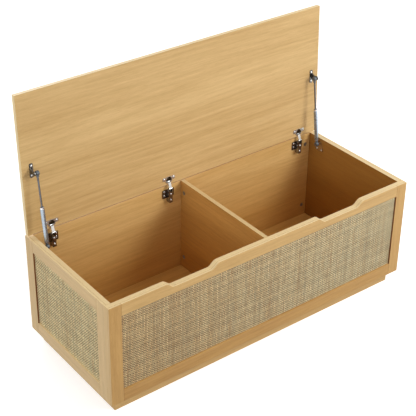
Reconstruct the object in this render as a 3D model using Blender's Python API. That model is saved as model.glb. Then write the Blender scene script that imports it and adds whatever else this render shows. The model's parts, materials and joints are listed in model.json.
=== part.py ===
"""Rattan storage bench: a two-bay box under one hinged lid that two gas struts hold open.

Metres, +Z up. The bench stands on Z = 0 with its front towards -Y, and it is drawn as
photographed, with the lid open and leaning a little back. The origin is on the floor, in
the middle of the space that the open bench takes up. Places across the bench count from
its middle, places in depth from its front face and heights from the floor.
"""

import math

import bmesh
import bpy
from mathutils import Matrix, Vector

# Body
BENCH_W = 1.200
BENCH_D = 0.476
BODY_H = 0.360
BOARD_T = 0.015
LID_T = 0.015
BOARD_EDGE = 0.0008
SEAT = 0.0003

# Face frames laid on the front and side boards, and the rattan between their members
FRAME_T = 0.007
STILE_W = 0.0435
TOP_RAIL_H = 0.0425
BOTTOM_RAIL_H = 0.0440
FRAME_EDGE = 0.0010
RATTAN_T = 0.0012

# Plinth set back under the body
PLINTH_H = 0.045
PLINTH_INSET = 0.025
PLINTH_T = 0.015

# Finger cut-outs in the front rim
CUTOUT_OFFSET = 0.300
CUTOUT_TOP_W = 0.200
CUTOUT_FLAT_W = 0.136
CUTOUT_DEPTH = 0.018
CUTOUT_STEPS = 8

# Lid at rest on its stop and shut
LID_ANGLE = math.radians(92.5)
LID_GAP = 0.0035
LID_LIFT = 0.0070
LID_OVERLAP = 0.0065

# Concealed hinges
HINGE_INSET = 0.085
HINGE_MIDDLE_X = -0.0615
CUP_BORE_R = 0.013
CUP_CLEARANCE = 0.0003
CUP_DEPTH = 0.0115
CUP_FLOOR_GAP = 0.0005
CUP_SETBACK = 0.004
CUP_WALL = 0.0014
CUP_FLOOR_T = 0.0012
CUP_REAR_GAP = 0.0010
CUP_SLOT_DEPTH = 0.0040
FLANGE_T = 0.0015
FLANGE_RIM = 0.0010
FLANGE_W = 0.050
FLANGE_H = 0.014
FLANGE_CORNER = 0.004
CUP_SCREW_SPREAD = 0.038
CUP_SCREW_ROW = 0.0055
PIVOT_SETBACK = 0.009
PIVOT_IN = 0.003
LINK_TURN = math.radians(30.0)
LINK_W = 0.010
LINK_T = 0.0032
LINK_KNUCKLE_R = 0.0026
LINK_CRANK_HIGH = Vector((-0.0065, 0.0008))
LINK_CRANK_LOW = Vector((-0.0110, -0.0030))
LINK_SIDE_GAP = 0.0007
PIN_R = 0.0012
PIN_CLEARANCE = 0.00025
PIN_END = 0.0024
ARM_WALL = 0.0012
ARM_EAR_R = 0.0040
ARM_EAR_H = 0.0120
ARM_BOTTOM_DROP = 0.0585
ARM_LEDGE = 0.0020
PLATE_T = 0.0020
PLATE_WING_W = 0.048
PLATE_WING_H = 0.032
PLATE_TOP_DROP = 0.0145
PLATE_CORNER = 0.004
PLATE_SCREW_SPREAD = 0.032
PLATE_SCREW_PITCH = 0.014
PLATE_SCREW_DROP = 0.0215
PLATE_RAIL_GAP = 0.0004
PLATE_RAIL_SKIN = 0.001
ARM_SCREW_DROPS = (0.0255, 0.048)

# Gas struts
STRUT_INSET = 0.0385
STRUT_LID_SETBACK = 0.2205
STRUT_LID_STANDOFF = 0.026
STRUT_WALL_SETBACK = 0.071
STRUT_WALL_DROP = 0.019
TUBE_R = 0.007
TUBE_WALL = 0.001
TUBE_CAP_T = 0.003
TUBE_ROUND = 0.001
EYE_EDGE = 0.0008
ROD_R = 0.003
ROD_CLEARANCE = 0.0003
ROD_IN_TUBE = 0.017
PISTON_L = 0.006
EYE_R = 0.008
EYE_W = 0.010
EYE_NECK_R = 0.0048
EYE_NECK_L = 0.013
EYE_SOCKET_L = 0.004
COLLAR_GAP = 0.0012
STUB_R = 0.0025
STUD_R = 0.003
STUD_SHOULDER_R = 0.005
STUD_END = 0.0015
STUD_ROOT = 0.002

# Strut brackets
BRACKET_T = 0.002
LID_BRACKET_W = 0.012
LID_BRACKET_H = 0.048
LID_BRACKET_INSET = 0.0265
BRACKET_EAR_T = 0.003
BRACKET_EAR_R = 0.007
BRACKET_EAR_FOOT = 0.026
BRACKET_EAR_WAIST = 0.011
BRACKET_EAR_FLARE = Vector((0.002, 0.005))
LID_BRACKET_SCREWS = 0.032
WALL_BRACKET_FOOT = 0.023
WALL_BRACKET_DROP = 0.025
WALL_BRACKET_R = 0.007

# Screw holes and cam locks
SCREW_HOLE_R = 0.0021
CAM_R = 0.0075
CAM_DEPTH = 0.011
CAM_CLEARANCE = 0.0003
CAM_SETBACK = 0.020
CAM_DIVIDER_SETBACK = 0.019
CAM_SINK = 0.0004
CAM_DROPS = {"upper": 0.042, "lower": 0.302}
CAM_SLOT_W = 0.0016
CAM_SLOT_DEPTH = 0.0020
CAM_SLOT_HALF_L = 0.00525

# How far a cutter runs past the faces that it opens
OVERSHOOT = 0.005
THROUGH = 0.010
PAST_ALL = 0.050

# Facets
FINE_SIDES = 40
ROUND_SIDES = 24
SMALL_SIDES = 12
ARC_STEPS = 5
SHARP_ANGLE = math.radians(35)

# Colours as seen in daylight, 0 to 255
OAK = (206, 168, 118)
OAK_INSIDE = (176, 130, 78)
RATTAN = (178, 160, 124)
NICKEL = (190, 188, 184)
DARK_NICKEL = (112, 108, 104)
STRUT_GREY = (170, 174, 184)
ROD_STEEL = (108, 102, 108)
SOCKET_GREY = (138, 142, 150)
CAM_ZINC = (96, 92, 90)

# Values worked out from the sizes above
HALF_W = BENCH_W / 2
RIM_Z = PLINTH_H + BODY_H
WALL_T = FRAME_T + BOARD_T
FLOOR_Z = PLINTH_H + BOARD_T
BACK_Y = BENCH_D - BOARD_T
CUP_R = CUP_BORE_R - CUP_CLEARANCE
CUP_CENTRE = CUP_SETBACK + CUP_BORE_R
PIN_BORE_R = PIN_R + PIN_CLEARANCE
ARM_INNER_W = LINK_W + 2 * LINK_SIDE_GAP
ARM_W = ARM_INNER_W + 2 * ARM_WALL
HINGE_XS = {"left": -(HALF_W - HINGE_INSET), "middle": HINGE_MIDDLE_X, "right": HALF_W - HINGE_INSET}
SIDES = {"left": -1, "right": 1}


def turn(point, angle):
    """Turn a (y, z) point about +X."""
    return Matrix.Rotation(angle, 2) @ Vector(point)


EDGE_SHUT = Vector((BENCH_D, RIM_Z + LID_GAP))
EDGE_OPEN = Vector((BACK_Y - LID_OVERLAP, RIM_Z + LID_LIFT))
PIVOT_SHUT = EDGE_SHUT + Vector((-PIVOT_SETBACK, PIVOT_IN))
PIVOT_OPEN = EDGE_OPEN + turn((-PIVOT_SETBACK, PIVOT_IN), -LID_ANGLE)


def centre_of_turn(start, end, angle):
    """Give the point about which the angle takes start to end."""
    half = (end - start) / 2
    across = Vector((-half.y, half.x)) / math.tan(angle / 2)
    return start + half + across


# The lid turns about LID_CENTRE, and the link turns about ARM_PIVOT with its other end in the cup.
LID_CENTRE = centre_of_turn(EDGE_OPEN, EDGE_SHUT, LID_ANGLE)
ARM_PIVOT = centre_of_turn(PIVOT_SHUT, PIVOT_OPEN, LINK_TURN)
STRUT_LID_SHUT = EDGE_SHUT + Vector((-STRUT_LID_SETBACK, -STRUT_LID_STANDOFF))
STRUT_LID_OPEN = EDGE_OPEN + turn((-STRUT_LID_SETBACK, -STRUT_LID_STANDOFF), -LID_ANGLE)
STRUT_WALL = Vector((BENCH_D - STRUT_WALL_SETBACK, RIM_Z - STRUT_WALL_DROP))
STRUT_L_OPEN = (STRUT_LID_OPEN - STRUT_WALL).length
STRUT_L_SHUT = (STRUT_LID_SHUT - STRUT_WALL).length
STRUT_STROKE = STRUT_L_OPEN - STRUT_L_SHUT
STRUT_LEAN = math.atan2(STRUT_WALL.x - STRUT_LID_OPEN.x, STRUT_LID_OPEN.y - STRUT_WALL.y)
COLLAR_Z = STRUT_L_OPEN - EYE_NECK_L - COLLAR_GAP - STRUT_STROKE
LID_BACK = EDGE_OPEN + turn((-BENCH_D, LID_T), -LID_ANGLE)
FRONT_Y = -max(BENCH_D, LID_BACK.x) / 2


def place(x, y, z):
    """Give the world point for a place across, in depth from the front face, and in height."""
    return Vector((x, FRONT_Y + y, z))


def on_lid(x, setback, depth):
    """Give a point in the lid's own frame: from its back edge forwards, and into the board."""
    edge = EDGE_SHUT - LID_CENTRE
    return Vector((x, edge.x - setback, edge.y + depth))


def linear(level):
    """Turn one 0 to 255 colour value into linear light."""
    share = level / 255
    return share / 12.92 if share <= 0.04045 else ((share + 0.055) / 1.055) ** 2.4


def material(name, colour, roughness, metallic=0.0):
    """Make a plain Principled material."""
    made = bpy.data.materials.new(name)
    made.use_nodes = True
    shader = made.node_tree.nodes["Principled BSDF"]
    shader.inputs["Base Color"].default_value = (*[linear(level) for level in colour], 1.0)
    shader.inputs["Roughness"].default_value = roughness
    shader.inputs["Metallic"].default_value = metallic
    return made


def wood_material(name, colour=OAK):
    """Make the satin oak veneer of one board."""
    return material(name + "_oak", colour, 0.55)


def link(name, mesh, finish, at=(0, 0, 0), parent=None):
    """Put a mesh in the scene as one named object."""
    item = bpy.data.objects.new(name, mesh)
    bpy.context.scene.collection.objects.link(item)
    item.location = at
    item.parent = parent
    if finish is not None and not mesh.materials:
        mesh.materials.append(finish)
    return item


def axis_empty(name, at, angle=0.0):
    """Put an empty on a joint's axis, turned about +X."""
    empty = bpy.data.objects.new(name, None)
    bpy.context.scene.collection.objects.link(empty)
    empty.location = at
    empty.rotation_euler = (angle, 0, 0)
    empty.empty_display_size = 0.02
    return empty


def to_mesh(name, shape):
    """Turn a bmesh into a mesh with its faces pointing out."""
    bmesh.ops.recalc_face_normals(shape, faces=shape.faces)
    mesh = bpy.data.meshes.new(name)
    shape.to_mesh(mesh)
    shape.free()
    return mesh


def box_mesh(name, low, high):
    """Make a box between two corners."""
    low, high = Vector(low), Vector(high)
    shape = bmesh.new()
    bmesh.ops.create_cube(shape, size=1)
    bmesh.ops.scale(shape, vec=high - low, verts=shape.verts)
    bmesh.ops.translate(shape, vec=(low + high) / 2, verts=shape.verts)
    return to_mesh(name, shape)


def prism_mesh(name, outline, axis, low, high):
    """Extrude an outline along X, Y or Z from low to high. X takes (y, z), Y (x, z) and Z (x, y)."""
    spread = {"X": lambda a, b, c: (c, a, b), "Y": lambda a, b, c: (a, c, b), "Z": lambda a, b, c: (a, b, c)}
    shape = bmesh.new()
    corners = [shape.verts.new(spread[axis](a, b, low)) for a, b in outline]
    face = shape.faces.new(corners)
    grown = bmesh.ops.extrude_face_region(shape, geom=[face])
    moved = [part for part in grown["geom"] if isinstance(part, bmesh.types.BMVert)]
    bmesh.ops.translate(shape, vec=Vector(spread[axis](0, 0, high - low)), verts=moved)
    return to_mesh(name, shape)


def lathe_mesh(name, profile, sides, axis="Z", at=(0, 0, 0)):
    """Spin a (radius, height) profile into a closed solid along X or Z."""
    shape = bmesh.new()
    points = [shape.verts.new((radius, 0, height)) for radius, height in profile]
    edges = [shape.edges.new(pair) for pair in zip(points, points[1:])]
    if profile[0][0] > 0:
        edges.append(shape.edges.new((points[-1], points[0])))
    bmesh.ops.spin(
        shape, geom=points + edges, cent=(0, 0, 0), axis=(0, 0, 1), angle=math.tau, steps=sides,
        use_merge=True,
    )
    bmesh.ops.remove_doubles(shape, verts=shape.verts, dist=1e-7)
    turned = Matrix.Rotation(math.pi / 2, 4, "Y") if axis == "X" else Matrix()
    bmesh.ops.transform(shape, matrix=Matrix.Translation(at) @ turned, verts=shape.verts)
    mesh = to_mesh(name, shape)
    mesh.shade_smooth()
    mesh.set_sharp_from_angle(angle=SHARP_ANGLE)
    return mesh


def cylinder_mesh(name, radius, low, high, sides, axis="Z", at=(0, 0, 0)):
    """Make a cylinder along the axis between two heights."""
    return lathe_mesh(name, [(0, low), (radius, low), (radius, high), (0, high)], sides, axis, at)


def group_mesh(name, mesh, spots):
    """Copy a mesh to each of the given matrices, as separate solids in one mesh."""
    shape = bmesh.new()
    for spot in spots:
        copy = mesh.copy()
        copy.transform(spot)
        shape.from_mesh(copy)
        bpy.data.meshes.remove(copy)
    made = bpy.data.meshes.new(name)
    shape.to_mesh(made)
    shape.free()
    made.shade_smooth()
    made.set_sharp_from_angle(angle=SHARP_ANGLE)
    return made


def settle(item):
    """Turn an object's modifiers into its mesh."""
    bpy.context.view_layer.update()
    evaluated = item.evaluated_get(bpy.context.evaluated_depsgraph_get())
    mesh = bpy.data.meshes.new_from_object(evaluated)
    mesh.name = item.name
    item.modifiers.clear()
    item.data = mesh


def soften(item, width, segments=2):
    """Round an object's sharp edges."""
    bevel = item.modifiers.new("edge", "BEVEL")
    bevel.width = width
    bevel.segments = segments
    bevel.limit_method = "ANGLE"
    bevel.angle_limit = math.radians(30)


def combine(item, mesh, operation):
    """Join or cut an object with a mesh that lies in the object's own frame."""
    tool = link(item.name + "_tool", mesh, None, item.location, item.parent)
    step = item.modifiers.new(operation.lower(), "BOOLEAN")
    step.operation = operation
    step.object = tool
    settle(item)
    bpy.data.objects.remove(tool)


def cut(item, mesh):
    """Cut a mesh out of an object."""
    combine(item, mesh, "DIFFERENCE")


def fuse(item, mesh):
    """Join a mesh to an object."""
    combine(item, mesh, "UNION")


def facing(direction, at):
    """Give the matrix that turns +Z to a direction and moves it to a point."""
    return Matrix.Translation(at) @ Vector(direction).to_track_quat("Z", "Y").to_matrix().to_4x4()


def board(name, low, high, colour=OAK, edge=BOARD_EDGE, parent=None, segments=2):
    """Make one board between two corners, with its edges eased and its origin at its middle."""
    middle = (Vector(low) + Vector(high)) / 2
    item = link(name, box_mesh(name, Vector(low) - middle, Vector(high) - middle), None, middle, parent)
    item.data.materials.append(wood_material(name, colour))
    soften(item, edge, segments)
    return item


def bore_mesh(radius, depth, spots, sides=SMALL_SIDES):
    """Make the cutter for equal bores: each starts a little before its spot and runs along its direction."""
    pin = cylinder_mesh("bore", radius, -OVERSHOOT, depth, sides)
    return group_mesh("bores", pin, spots)


def bore(item, radius, depth, spots, sides=SMALL_SIDES):
    """Bore an object at points of its own parent's frame, each given with its direction."""
    shift = Matrix.Translation(-item.location)
    settle(item)
    cut(item, bore_mesh(radius, depth, [shift @ facing(way, at) for at, way in spots], sides))


def arc(centre, radius, start, end, steps):
    """List the points of an arc in degrees, both ends included."""
    angles = [math.radians(start + (end - start) * step / steps) for step in range(steps + 1)]
    return [(centre[0] + radius * math.cos(a), centre[1] + radius * math.sin(a)) for a in angles]


def rounded_box(low, high, radius):
    """List the outline of a rectangle with round corners, counter-clockwise."""
    points = []
    corners = [(high[0], low[1], -90), (high[0], high[1], 0), (low[0], high[1], 90), (low[0], low[1], 180)]
    for x, y, start in corners:
        centre = (x - math.copysign(radius, x - (low[0] + high[0]) / 2),
                  y - math.copysign(radius, y - (low[1] + high[1]) / 2))
        points += arc(centre, radius, start, start + 90, ARC_STEPS)
    return points


def thick_line(points, half):
    """List the outline of a bent strip about a line, with square ends."""
    left, right = [], []
    for index, point in enumerate(points):
        before = (point - points[index - 1]).normalized() if index else None
        after = (points[index + 1] - point).normalized() if index < len(points) - 1 else None
        way = ((before or after) + (after or before)).normalized()
        side = Vector((-way.y, way.x))
        reach = half / max(0.5, side.dot(Vector((-(before or after).y, (before or after).x))))
        left.append(tuple(point + side * reach))
        right.append(tuple(point - side * reach))
    return left + right[::-1]


def front_outline(top, bottom, half):
    """List the (x, z) outline of a front piece whose top edge has the finger cut-outs."""
    points = [(-half, bottom), (half, bottom), (half, top)]
    run = (CUTOUT_TOP_W - CUTOUT_FLAT_W) / 2
    shares = [step / CUTOUT_STEPS for step in range(CUTOUT_STEPS + 1)]
    slope = [
        (CUTOUT_TOP_W / 2 - run * share, CUTOUT_DEPTH * (1 - math.cos(math.pi * share)) / 2)
        for share in shares
    ]
    for middle in (CUTOUT_OFFSET, -CUTOUT_OFFSET):
        points += [(middle + x, RIM_Z - drop) for x, drop in slope]
        points += [(middle - x, RIM_Z - drop) for x, drop in reversed(slope)]
    points.append((-half, top))
    return points


def front_piece(name, bottom, half, low, high, edge):
    """Make a front board or rail with the finger cut-outs, extruded in depth."""
    mesh = prism_mesh(name, front_outline(RIM_Z, bottom, half), "Y", low, high)
    item = link(name, mesh, wood_material(name), place(0, 0, 0))
    soften(item, edge)
    return item


def build_carcass():
    """Build the floor, walls and divider of the box."""
    inside = HALF_W - WALL_T
    low_y = WALL_T + SEAT
    deep_y = BACK_Y - SEAT
    board(
        "bottom_board",
        place(-inside + SEAT, low_y, PLINTH_H), place(inside - SEAT, deep_y, FLOOR_Z), OAK_INSIDE,
    )
    back = board(
        "back_board", place(-inside + SEAT, BACK_Y, PLINTH_H), place(inside - SEAT, BENCH_D, RIM_Z)
    )
    divider = board(
        "divider_board",
        place(-BOARD_T / 2, low_y, FLOOR_Z + SEAT), place(BOARD_T / 2, deep_y, RIM_Z),
    )
    front_piece("front_board", PLINTH_H, HALF_W, FRAME_T + SEAT / 2, WALL_T, BOARD_EDGE)
    for side, sign in SIDES.items():
        xs = sorted((sign * inside, sign * (HALF_W - FRAME_T - SEAT / 2)))
        board(side + "_board", place(xs[0], low_y, PLINTH_H), place(xs[1], BENCH_D, RIM_Z))
    return back, divider


def build_plinth():
    """Build the four boards that the body stands on."""
    half = HALF_W - PLINTH_INSET
    top = PLINTH_H - SEAT
    rear = BENCH_D - PLINTH_INSET
    board("plinth_front", place(-half, PLINTH_INSET, 0), place(half, PLINTH_INSET + PLINTH_T, top))
    board("plinth_back", place(-half, rear - PLINTH_T, 0), place(half, rear, top))
    for side, sign in SIDES.items():
        xs = sorted((sign * half, sign * (half - PLINTH_T)))
        board(
            "plinth_" + side,
            place(xs[0], PLINTH_INSET + PLINTH_T + SEAT, 0), place(xs[1], rear - PLINTH_T - SEAT, top),
        )


def build_front_face():
    """Build the frame and the rattan sheet on the front board."""
    depth = FRAME_T - SEAT / 2
    inner = HALF_W - STILE_W
    front_piece("front_top_rail", RIM_Z - TOP_RAIL_H, inner - SEAT, 0, depth, FRAME_EDGE)
    rail_top = PLINTH_H + BOTTOM_RAIL_H
    board(
        "front_bottom_rail",
        place(-inner + SEAT, 0, PLINTH_H), place(inner - SEAT, depth, rail_top), edge=FRAME_EDGE,
    )
    for side, sign in SIDES.items():
        xs = sorted((sign * HALF_W, sign * inner))
        board(
            f"front_{side}_stile",
            place(xs[0], 0, PLINTH_H), place(xs[1], depth, RIM_Z), edge=FRAME_EDGE,
        )
    rattan_sheet(
        "front_rattan",
        place(-inner + SEAT, depth - RATTAN_T, rail_top + SEAT),
        place(inner - SEAT, depth, RIM_Z - TOP_RAIL_H - SEAT),
    )


def rattan_sheet(name, low, high):
    """Make one flat sheet of woven rattan, whose weave is its finish."""
    middle = (low + high) / 2
    finish = material(name + "_cane", RATTAN, 0.75)
    link(name, box_mesh(name, low - middle, high - middle), finish, middle)


def build_side_faces():
    """Build the frame and the rattan sheet on each side board."""
    for side, sign in SIDES.items():
        outer = sign * HALF_W
        inner = sign * (HALF_W - FRAME_T + SEAT / 2)
        xs = sorted((outer, inner))
        front = WALL_T + SEAT
        stiles = {"front": (front, front + STILE_W), "back": (BENCH_D - STILE_W, BENCH_D)}
        for end, (low_y, high_y) in stiles.items():
            board(
                f"{side}_{end}_stile",
                place(xs[0], low_y, PLINTH_H), place(xs[1], high_y, RIM_Z), edge=FRAME_EDGE,
            )
        low_y = front + STILE_W + SEAT
        high_y = BENCH_D - STILE_W - SEAT
        rails = {"bottom": (PLINTH_H, PLINTH_H + BOTTOM_RAIL_H), "top": (RIM_Z - TOP_RAIL_H, RIM_Z)}
        for end, (low_z, high_z) in rails.items():
            board(
                f"{side}_{end}_rail",
                place(xs[0], low_y, low_z), place(xs[1], high_y, high_z), edge=FRAME_EDGE,
            )
        sheet = sorted((inner, inner + sign * RATTAN_T))
        rattan_sheet(
            side + "_rattan",
            place(sheet[0], low_y, PLINTH_H + BOTTOM_RAIL_H + SEAT),
            place(sheet[1], high_y, RIM_Z - TOP_RAIL_H - SEAT),
        )


def cup_mesh():
    """Make one hinge cup as it lies in the lid, with the link's pivot at its origin."""
    face = -PIVOT_IN - SEAT
    middle_y = PIVOT_SETBACK - CUP_CENTRE
    row_y = middle_y - CUP_SCREW_ROW
    cup_top = face + CUP_DEPTH
    item = link(
        "cup",
        lathe_mesh(
            "cup",
            [(0, face - FLANGE_T), (CUP_R + FLANGE_RIM, face - FLANGE_T), (CUP_R + FLANGE_RIM, face),
             (CUP_R, face), (CUP_R, cup_top), (0, cup_top)],
            FINE_SIDES, at=(0, middle_y, 0),
        ),
        None,
    )
    wings = rounded_box(
        (-FLANGE_W / 2, row_y - FLANGE_H / 2), (FLANGE_W / 2, row_y + FLANGE_H / 2), FLANGE_CORNER
    )
    fuse(item, prism_mesh("wings", wings, "Z", face - FLANGE_T, face))
    hollow_top = cup_top - CUP_WALL
    hollow = lathe_mesh(
        "hollow",
        [(0, -PAST_ALL), (CUP_R - CUP_WALL, -PAST_ALL), (CUP_R - CUP_WALL, hollow_top), (0, hollow_top)],
        FINE_SIDES, at=(0, middle_y, 0),
    )
    core = link("core", hollow, None)
    rear = -LINK_KNUCKLE_R - CUP_REAR_GAP
    cut(core, box_mesh("keep", (-PAST_ALL, rear, -2 * PAST_ALL), (PAST_ALL, PAST_ALL, PAST_ALL)))
    cut(item, core.data)
    bpy.data.objects.remove(core)
    half = ARM_INNER_W / 2
    slot_top = cup_top - CUP_FLOOR_T
    cut(item, box_mesh("slot", (-half, rear - CUP_SLOT_DEPTH, -PAST_ALL), (half, PAST_ALL, slot_top)))
    for ends in ((-pin_reach(), -LINK_W / 2 - SEAT), (LINK_W / 2 + SEAT, pin_reach())):
        fuse(item, cylinder_mesh("pin", PIN_R, *ends, SMALL_SIDES, "X"))
    holes = [facing((0, 0, 1), (spread, row_y, face - FLANGE_T)) for spread in spread_pair(CUP_SCREW_SPREAD)]
    cut(item, bore_mesh(SCREW_HOLE_R, THROUGH, holes))
    mesh = item.data
    bpy.data.objects.remove(item)
    return mesh


def pin_reach():
    """Give how far a hinge pin runs to each side of the link's middle."""
    return ARM_INNER_W / 2 + PIN_END


def spread_pair(width):
    """Give the two places that lie a width apart."""
    return (-width / 2, width / 2)


def link_mesh():
    """Make one cranked link about the arm's pivot, drawn as it lies when the lid is shut."""
    cup = PIVOT_SHUT - ARM_PIVOT
    line = [cup, cup + LINK_CRANK_HIGH, cup + LINK_CRANK_LOW, Vector((0, 0))]
    half = LINK_W / 2
    item = link("link", prism_mesh("link", thick_line(line, LINK_T / 2), "X", -half, half), None)
    for centre in (cup, Vector((0, 0))):
        at = (0, centre.x, centre.y)
        fuse(item, cylinder_mesh("knuckle", LINK_KNUCKLE_R, -half, half, ROUND_SIDES, "X", at))
    cut(item, cylinder_mesh("pin_bore", PIN_BORE_R, -PAST_ALL, PAST_ALL, SMALL_SIDES, "X"))
    mesh = item.data
    bpy.data.objects.remove(item)
    return mesh


def arm_reach():
    """Give the arm's front and back, from the front face of the bench."""
    front = ARM_PIVOT.x - ARM_EAR_R + ARM_WALL
    back = BACK_Y - SEAT - PLATE_T - PLATE_RAIL_GAP
    return front, back


def arm_mesh():
    """Make one arm, a channel open to the back, with ears at its top for the link's pin."""
    front, back = arm_reach()
    low = RIM_Z - ARM_BOTTOM_DROP
    shoulder = ARM_PIVOT.y - ARM_EAR_H
    top = arc(ARM_PIVOT, ARM_EAR_R, 160, 0, ARC_STEPS)
    outline = [(back, low), (back, shoulder + ARM_EAR_R), (ARM_PIVOT.x + ARM_EAR_R, ARM_PIVOT.y - ARM_EAR_R)]
    outline += top[::-1] + [(front, shoulder), (front, low)]
    half = ARM_W / 2
    item = link("arm", prism_mesh("arm", outline, "X", -half, half), None)
    inner = ARM_INNER_W / 2
    for near, bottom in ((front + ARM_WALL, low - OVERSHOOT), (front - OVERSHOOT, shoulder)):
        cut(item, box_mesh("channel", (-inner, near, bottom), (inner, back + OVERSHOOT, RIM_Z)))
    at = (0, ARM_PIVOT.x, ARM_PIVOT.y)
    cut(item, cylinder_mesh("pin_bore", PIN_BORE_R, -PAST_ALL, PAST_ALL, SMALL_SIDES, "X", at))
    holes = [facing((0, 1, 0), (0, front, RIM_Z - drop)) for drop in ARM_SCREW_DROPS]
    cut(item, bore_mesh(SCREW_HOLE_R, THROUGH, holes))
    mesh = item.data
    bpy.data.objects.remove(item)
    return mesh


def plate_mesh():
    """Make one mounting plate: two wings flat on the back board and the rail that the arm grips."""
    front, _ = arm_reach()
    rear = BACK_Y - SEAT
    wing_top = RIM_Z - PLATE_TOP_DROP
    side = PLATE_WING_W / 2
    wings = rounded_box((-side, wing_top - PLATE_WING_H), (side, wing_top), PLATE_CORNER)
    item = link("plate", prism_mesh("plate", wings, "Y", rear - PLATE_T, rear), None)
    low = RIM_Z - ARM_BOTTOM_DROP + ARM_LEDGE
    half = ARM_INNER_W / 2 - PLATE_RAIL_GAP
    rail_front = front + ARM_WALL + SEAT
    shoulder = ARM_PIVOT.y - ARM_EAR_H - LINK_KNUCKLE_R
    fuse(item, box_mesh("rail", (-half, rail_front, low), (half, rear, min(shoulder, wing_top) - SEAT)))
    holes = [facing((0, 1, 0), (x, rear - PLATE_T, z)) for x, z in plate_screw_spots()]
    cut(item, bore_mesh(SCREW_HOLE_R, THROUGH, holes))
    holes = [facing((0, 1, 0), (0, rail_front, RIM_Z - drop)) for drop in ARM_SCREW_DROPS]
    cut(item, bore_mesh(SCREW_HOLE_R, rear - rail_front - PLATE_RAIL_SKIN, holes))
    mesh = item.data
    bpy.data.objects.remove(item)
    return mesh


def plate_screw_spots():
    """List the (x, z) places of one plate's four screws."""
    top = RIM_Z - PLATE_SCREW_DROP
    return [(x, top - drop) for x in spread_pair(PLATE_SCREW_SPREAD) for drop in (0, PLATE_SCREW_PITCH)]


def build_lid(lid_axis):
    """Build the lid board on its axis."""
    return board(
        "lid_board", on_lid(-HALF_W, BENCH_D, 0), on_lid(HALF_W, 0, LID_T), edge=BOARD_EDGE, parent=lid_axis
    )


def build_hinges(lid, lid_axis, link_axis):
    """Build the three hinges and bore the lid for their cups."""
    cup, cranked, arm, plate = cup_mesh(), link_mesh(), arm_mesh(), plate_mesh()
    pin = cylinder_mesh("pin", PIN_R, -pin_reach(), pin_reach(), SMALL_SIDES, "X")
    nickel = material("hinge_nickel", NICKEL, 0.28, 1.0)
    dark = material("hinge_dark_nickel", DARK_NICKEL, 0.38, 1.0)
    steel = material("pin_steel", NICKEL, 0.3, 1.0)
    cup_bores = []
    for side, x in HINGE_XS.items():
        link(f"hinge_{side}_cup", cup, nickel, on_lid(x, PIVOT_SETBACK, PIVOT_IN), lid_axis)
        link(f"hinge_{side}_link", cranked, nickel, (x, 0, 0), link_axis)
        link(f"hinge_{side}_arm", arm, dark, place(x, 0, 0))
        link(f"hinge_{side}_plate", plate, dark, place(x, 0, 0))
        link(f"hinge_{side}_pin", pin, steel, place(x, ARM_PIVOT.x, ARM_PIVOT.y))
        cup_bores.append((on_lid(x, CUP_CENTRE, 0), (0, 0, 1)))
    bore(lid, CUP_BORE_R, CUP_DEPTH + CUP_FLOOR_GAP, cup_bores, FINE_SIDES)


def tube_mesh():
    """Make one strut tube about its lower pivot: open at its collar for the rod, closed below."""
    low = EYE_NECK_L + SEAT
    guide = ROD_R + ROD_CLEARANCE
    inner = TUBE_R - TUBE_WALL
    stub = low - EYE_SOCKET_L
    profile = [
        (0, stub), (STUB_R, stub), (STUB_R, low), (TUBE_R - TUBE_ROUND, low), (TUBE_R, low + TUBE_ROUND),
        (TUBE_R, COLLAR_Z - TUBE_ROUND), (TUBE_R - TUBE_ROUND, COLLAR_Z), (guide, COLLAR_Z),
        (guide, COLLAR_Z - TUBE_CAP_T), (inner, COLLAR_Z - TUBE_CAP_T), (inner, low + 2 * TUBE_WALL),
        (0, low + 2 * TUBE_WALL),
    ]
    return lathe_mesh("tube", profile, ROUND_SIDES)


def rod_mesh():
    """Make one strut rod about the lid's pivot, running down, with the piston on its hidden end."""
    low = COLLAR_Z - ROD_IN_TUBE - STRUT_L_OPEN
    piston = TUBE_R - TUBE_WALL - ROD_CLEARANCE
    top = -EYE_NECK_L + EYE_SOCKET_L - SEAT
    profile = [
        (0, low), (piston, low), (piston, low + PISTON_L), (ROD_R, low + PISTON_L), (ROD_R, top), (0, top)
    ]
    return lathe_mesh("rod", profile, ROUND_SIDES)


def eye_mesh(name, way, socket_r, bored):
    """Make one strut eye about its pivot, its neck running up or down with a socket in its end."""
    half = EYE_W / 2
    item = link(name, cylinder_mesh(name, EYE_R, -half, half, ROUND_SIDES, "X"), None)
    soften(item, EYE_EDGE, 1)
    settle(item)
    ends = sorted((0.0, way * EYE_NECK_L))
    fuse(item, cylinder_mesh("neck", EYE_NECK_R, *ends, ROUND_SIDES))
    reach = sorted((way * (EYE_NECK_L - EYE_SOCKET_L), way * (EYE_NECK_L + OVERSHOOT)))
    cut(item, cylinder_mesh("socket", socket_r + ROD_CLEARANCE, *reach, ROUND_SIDES))
    if bored:
        cut(item, cylinder_mesh("pin_bore", STUD_R + ROD_CLEARANCE, -PAST_ALL, PAST_ALL, ROUND_SIDES, "X"))
    mesh = item.data
    bpy.data.objects.remove(item)
    return mesh


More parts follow.
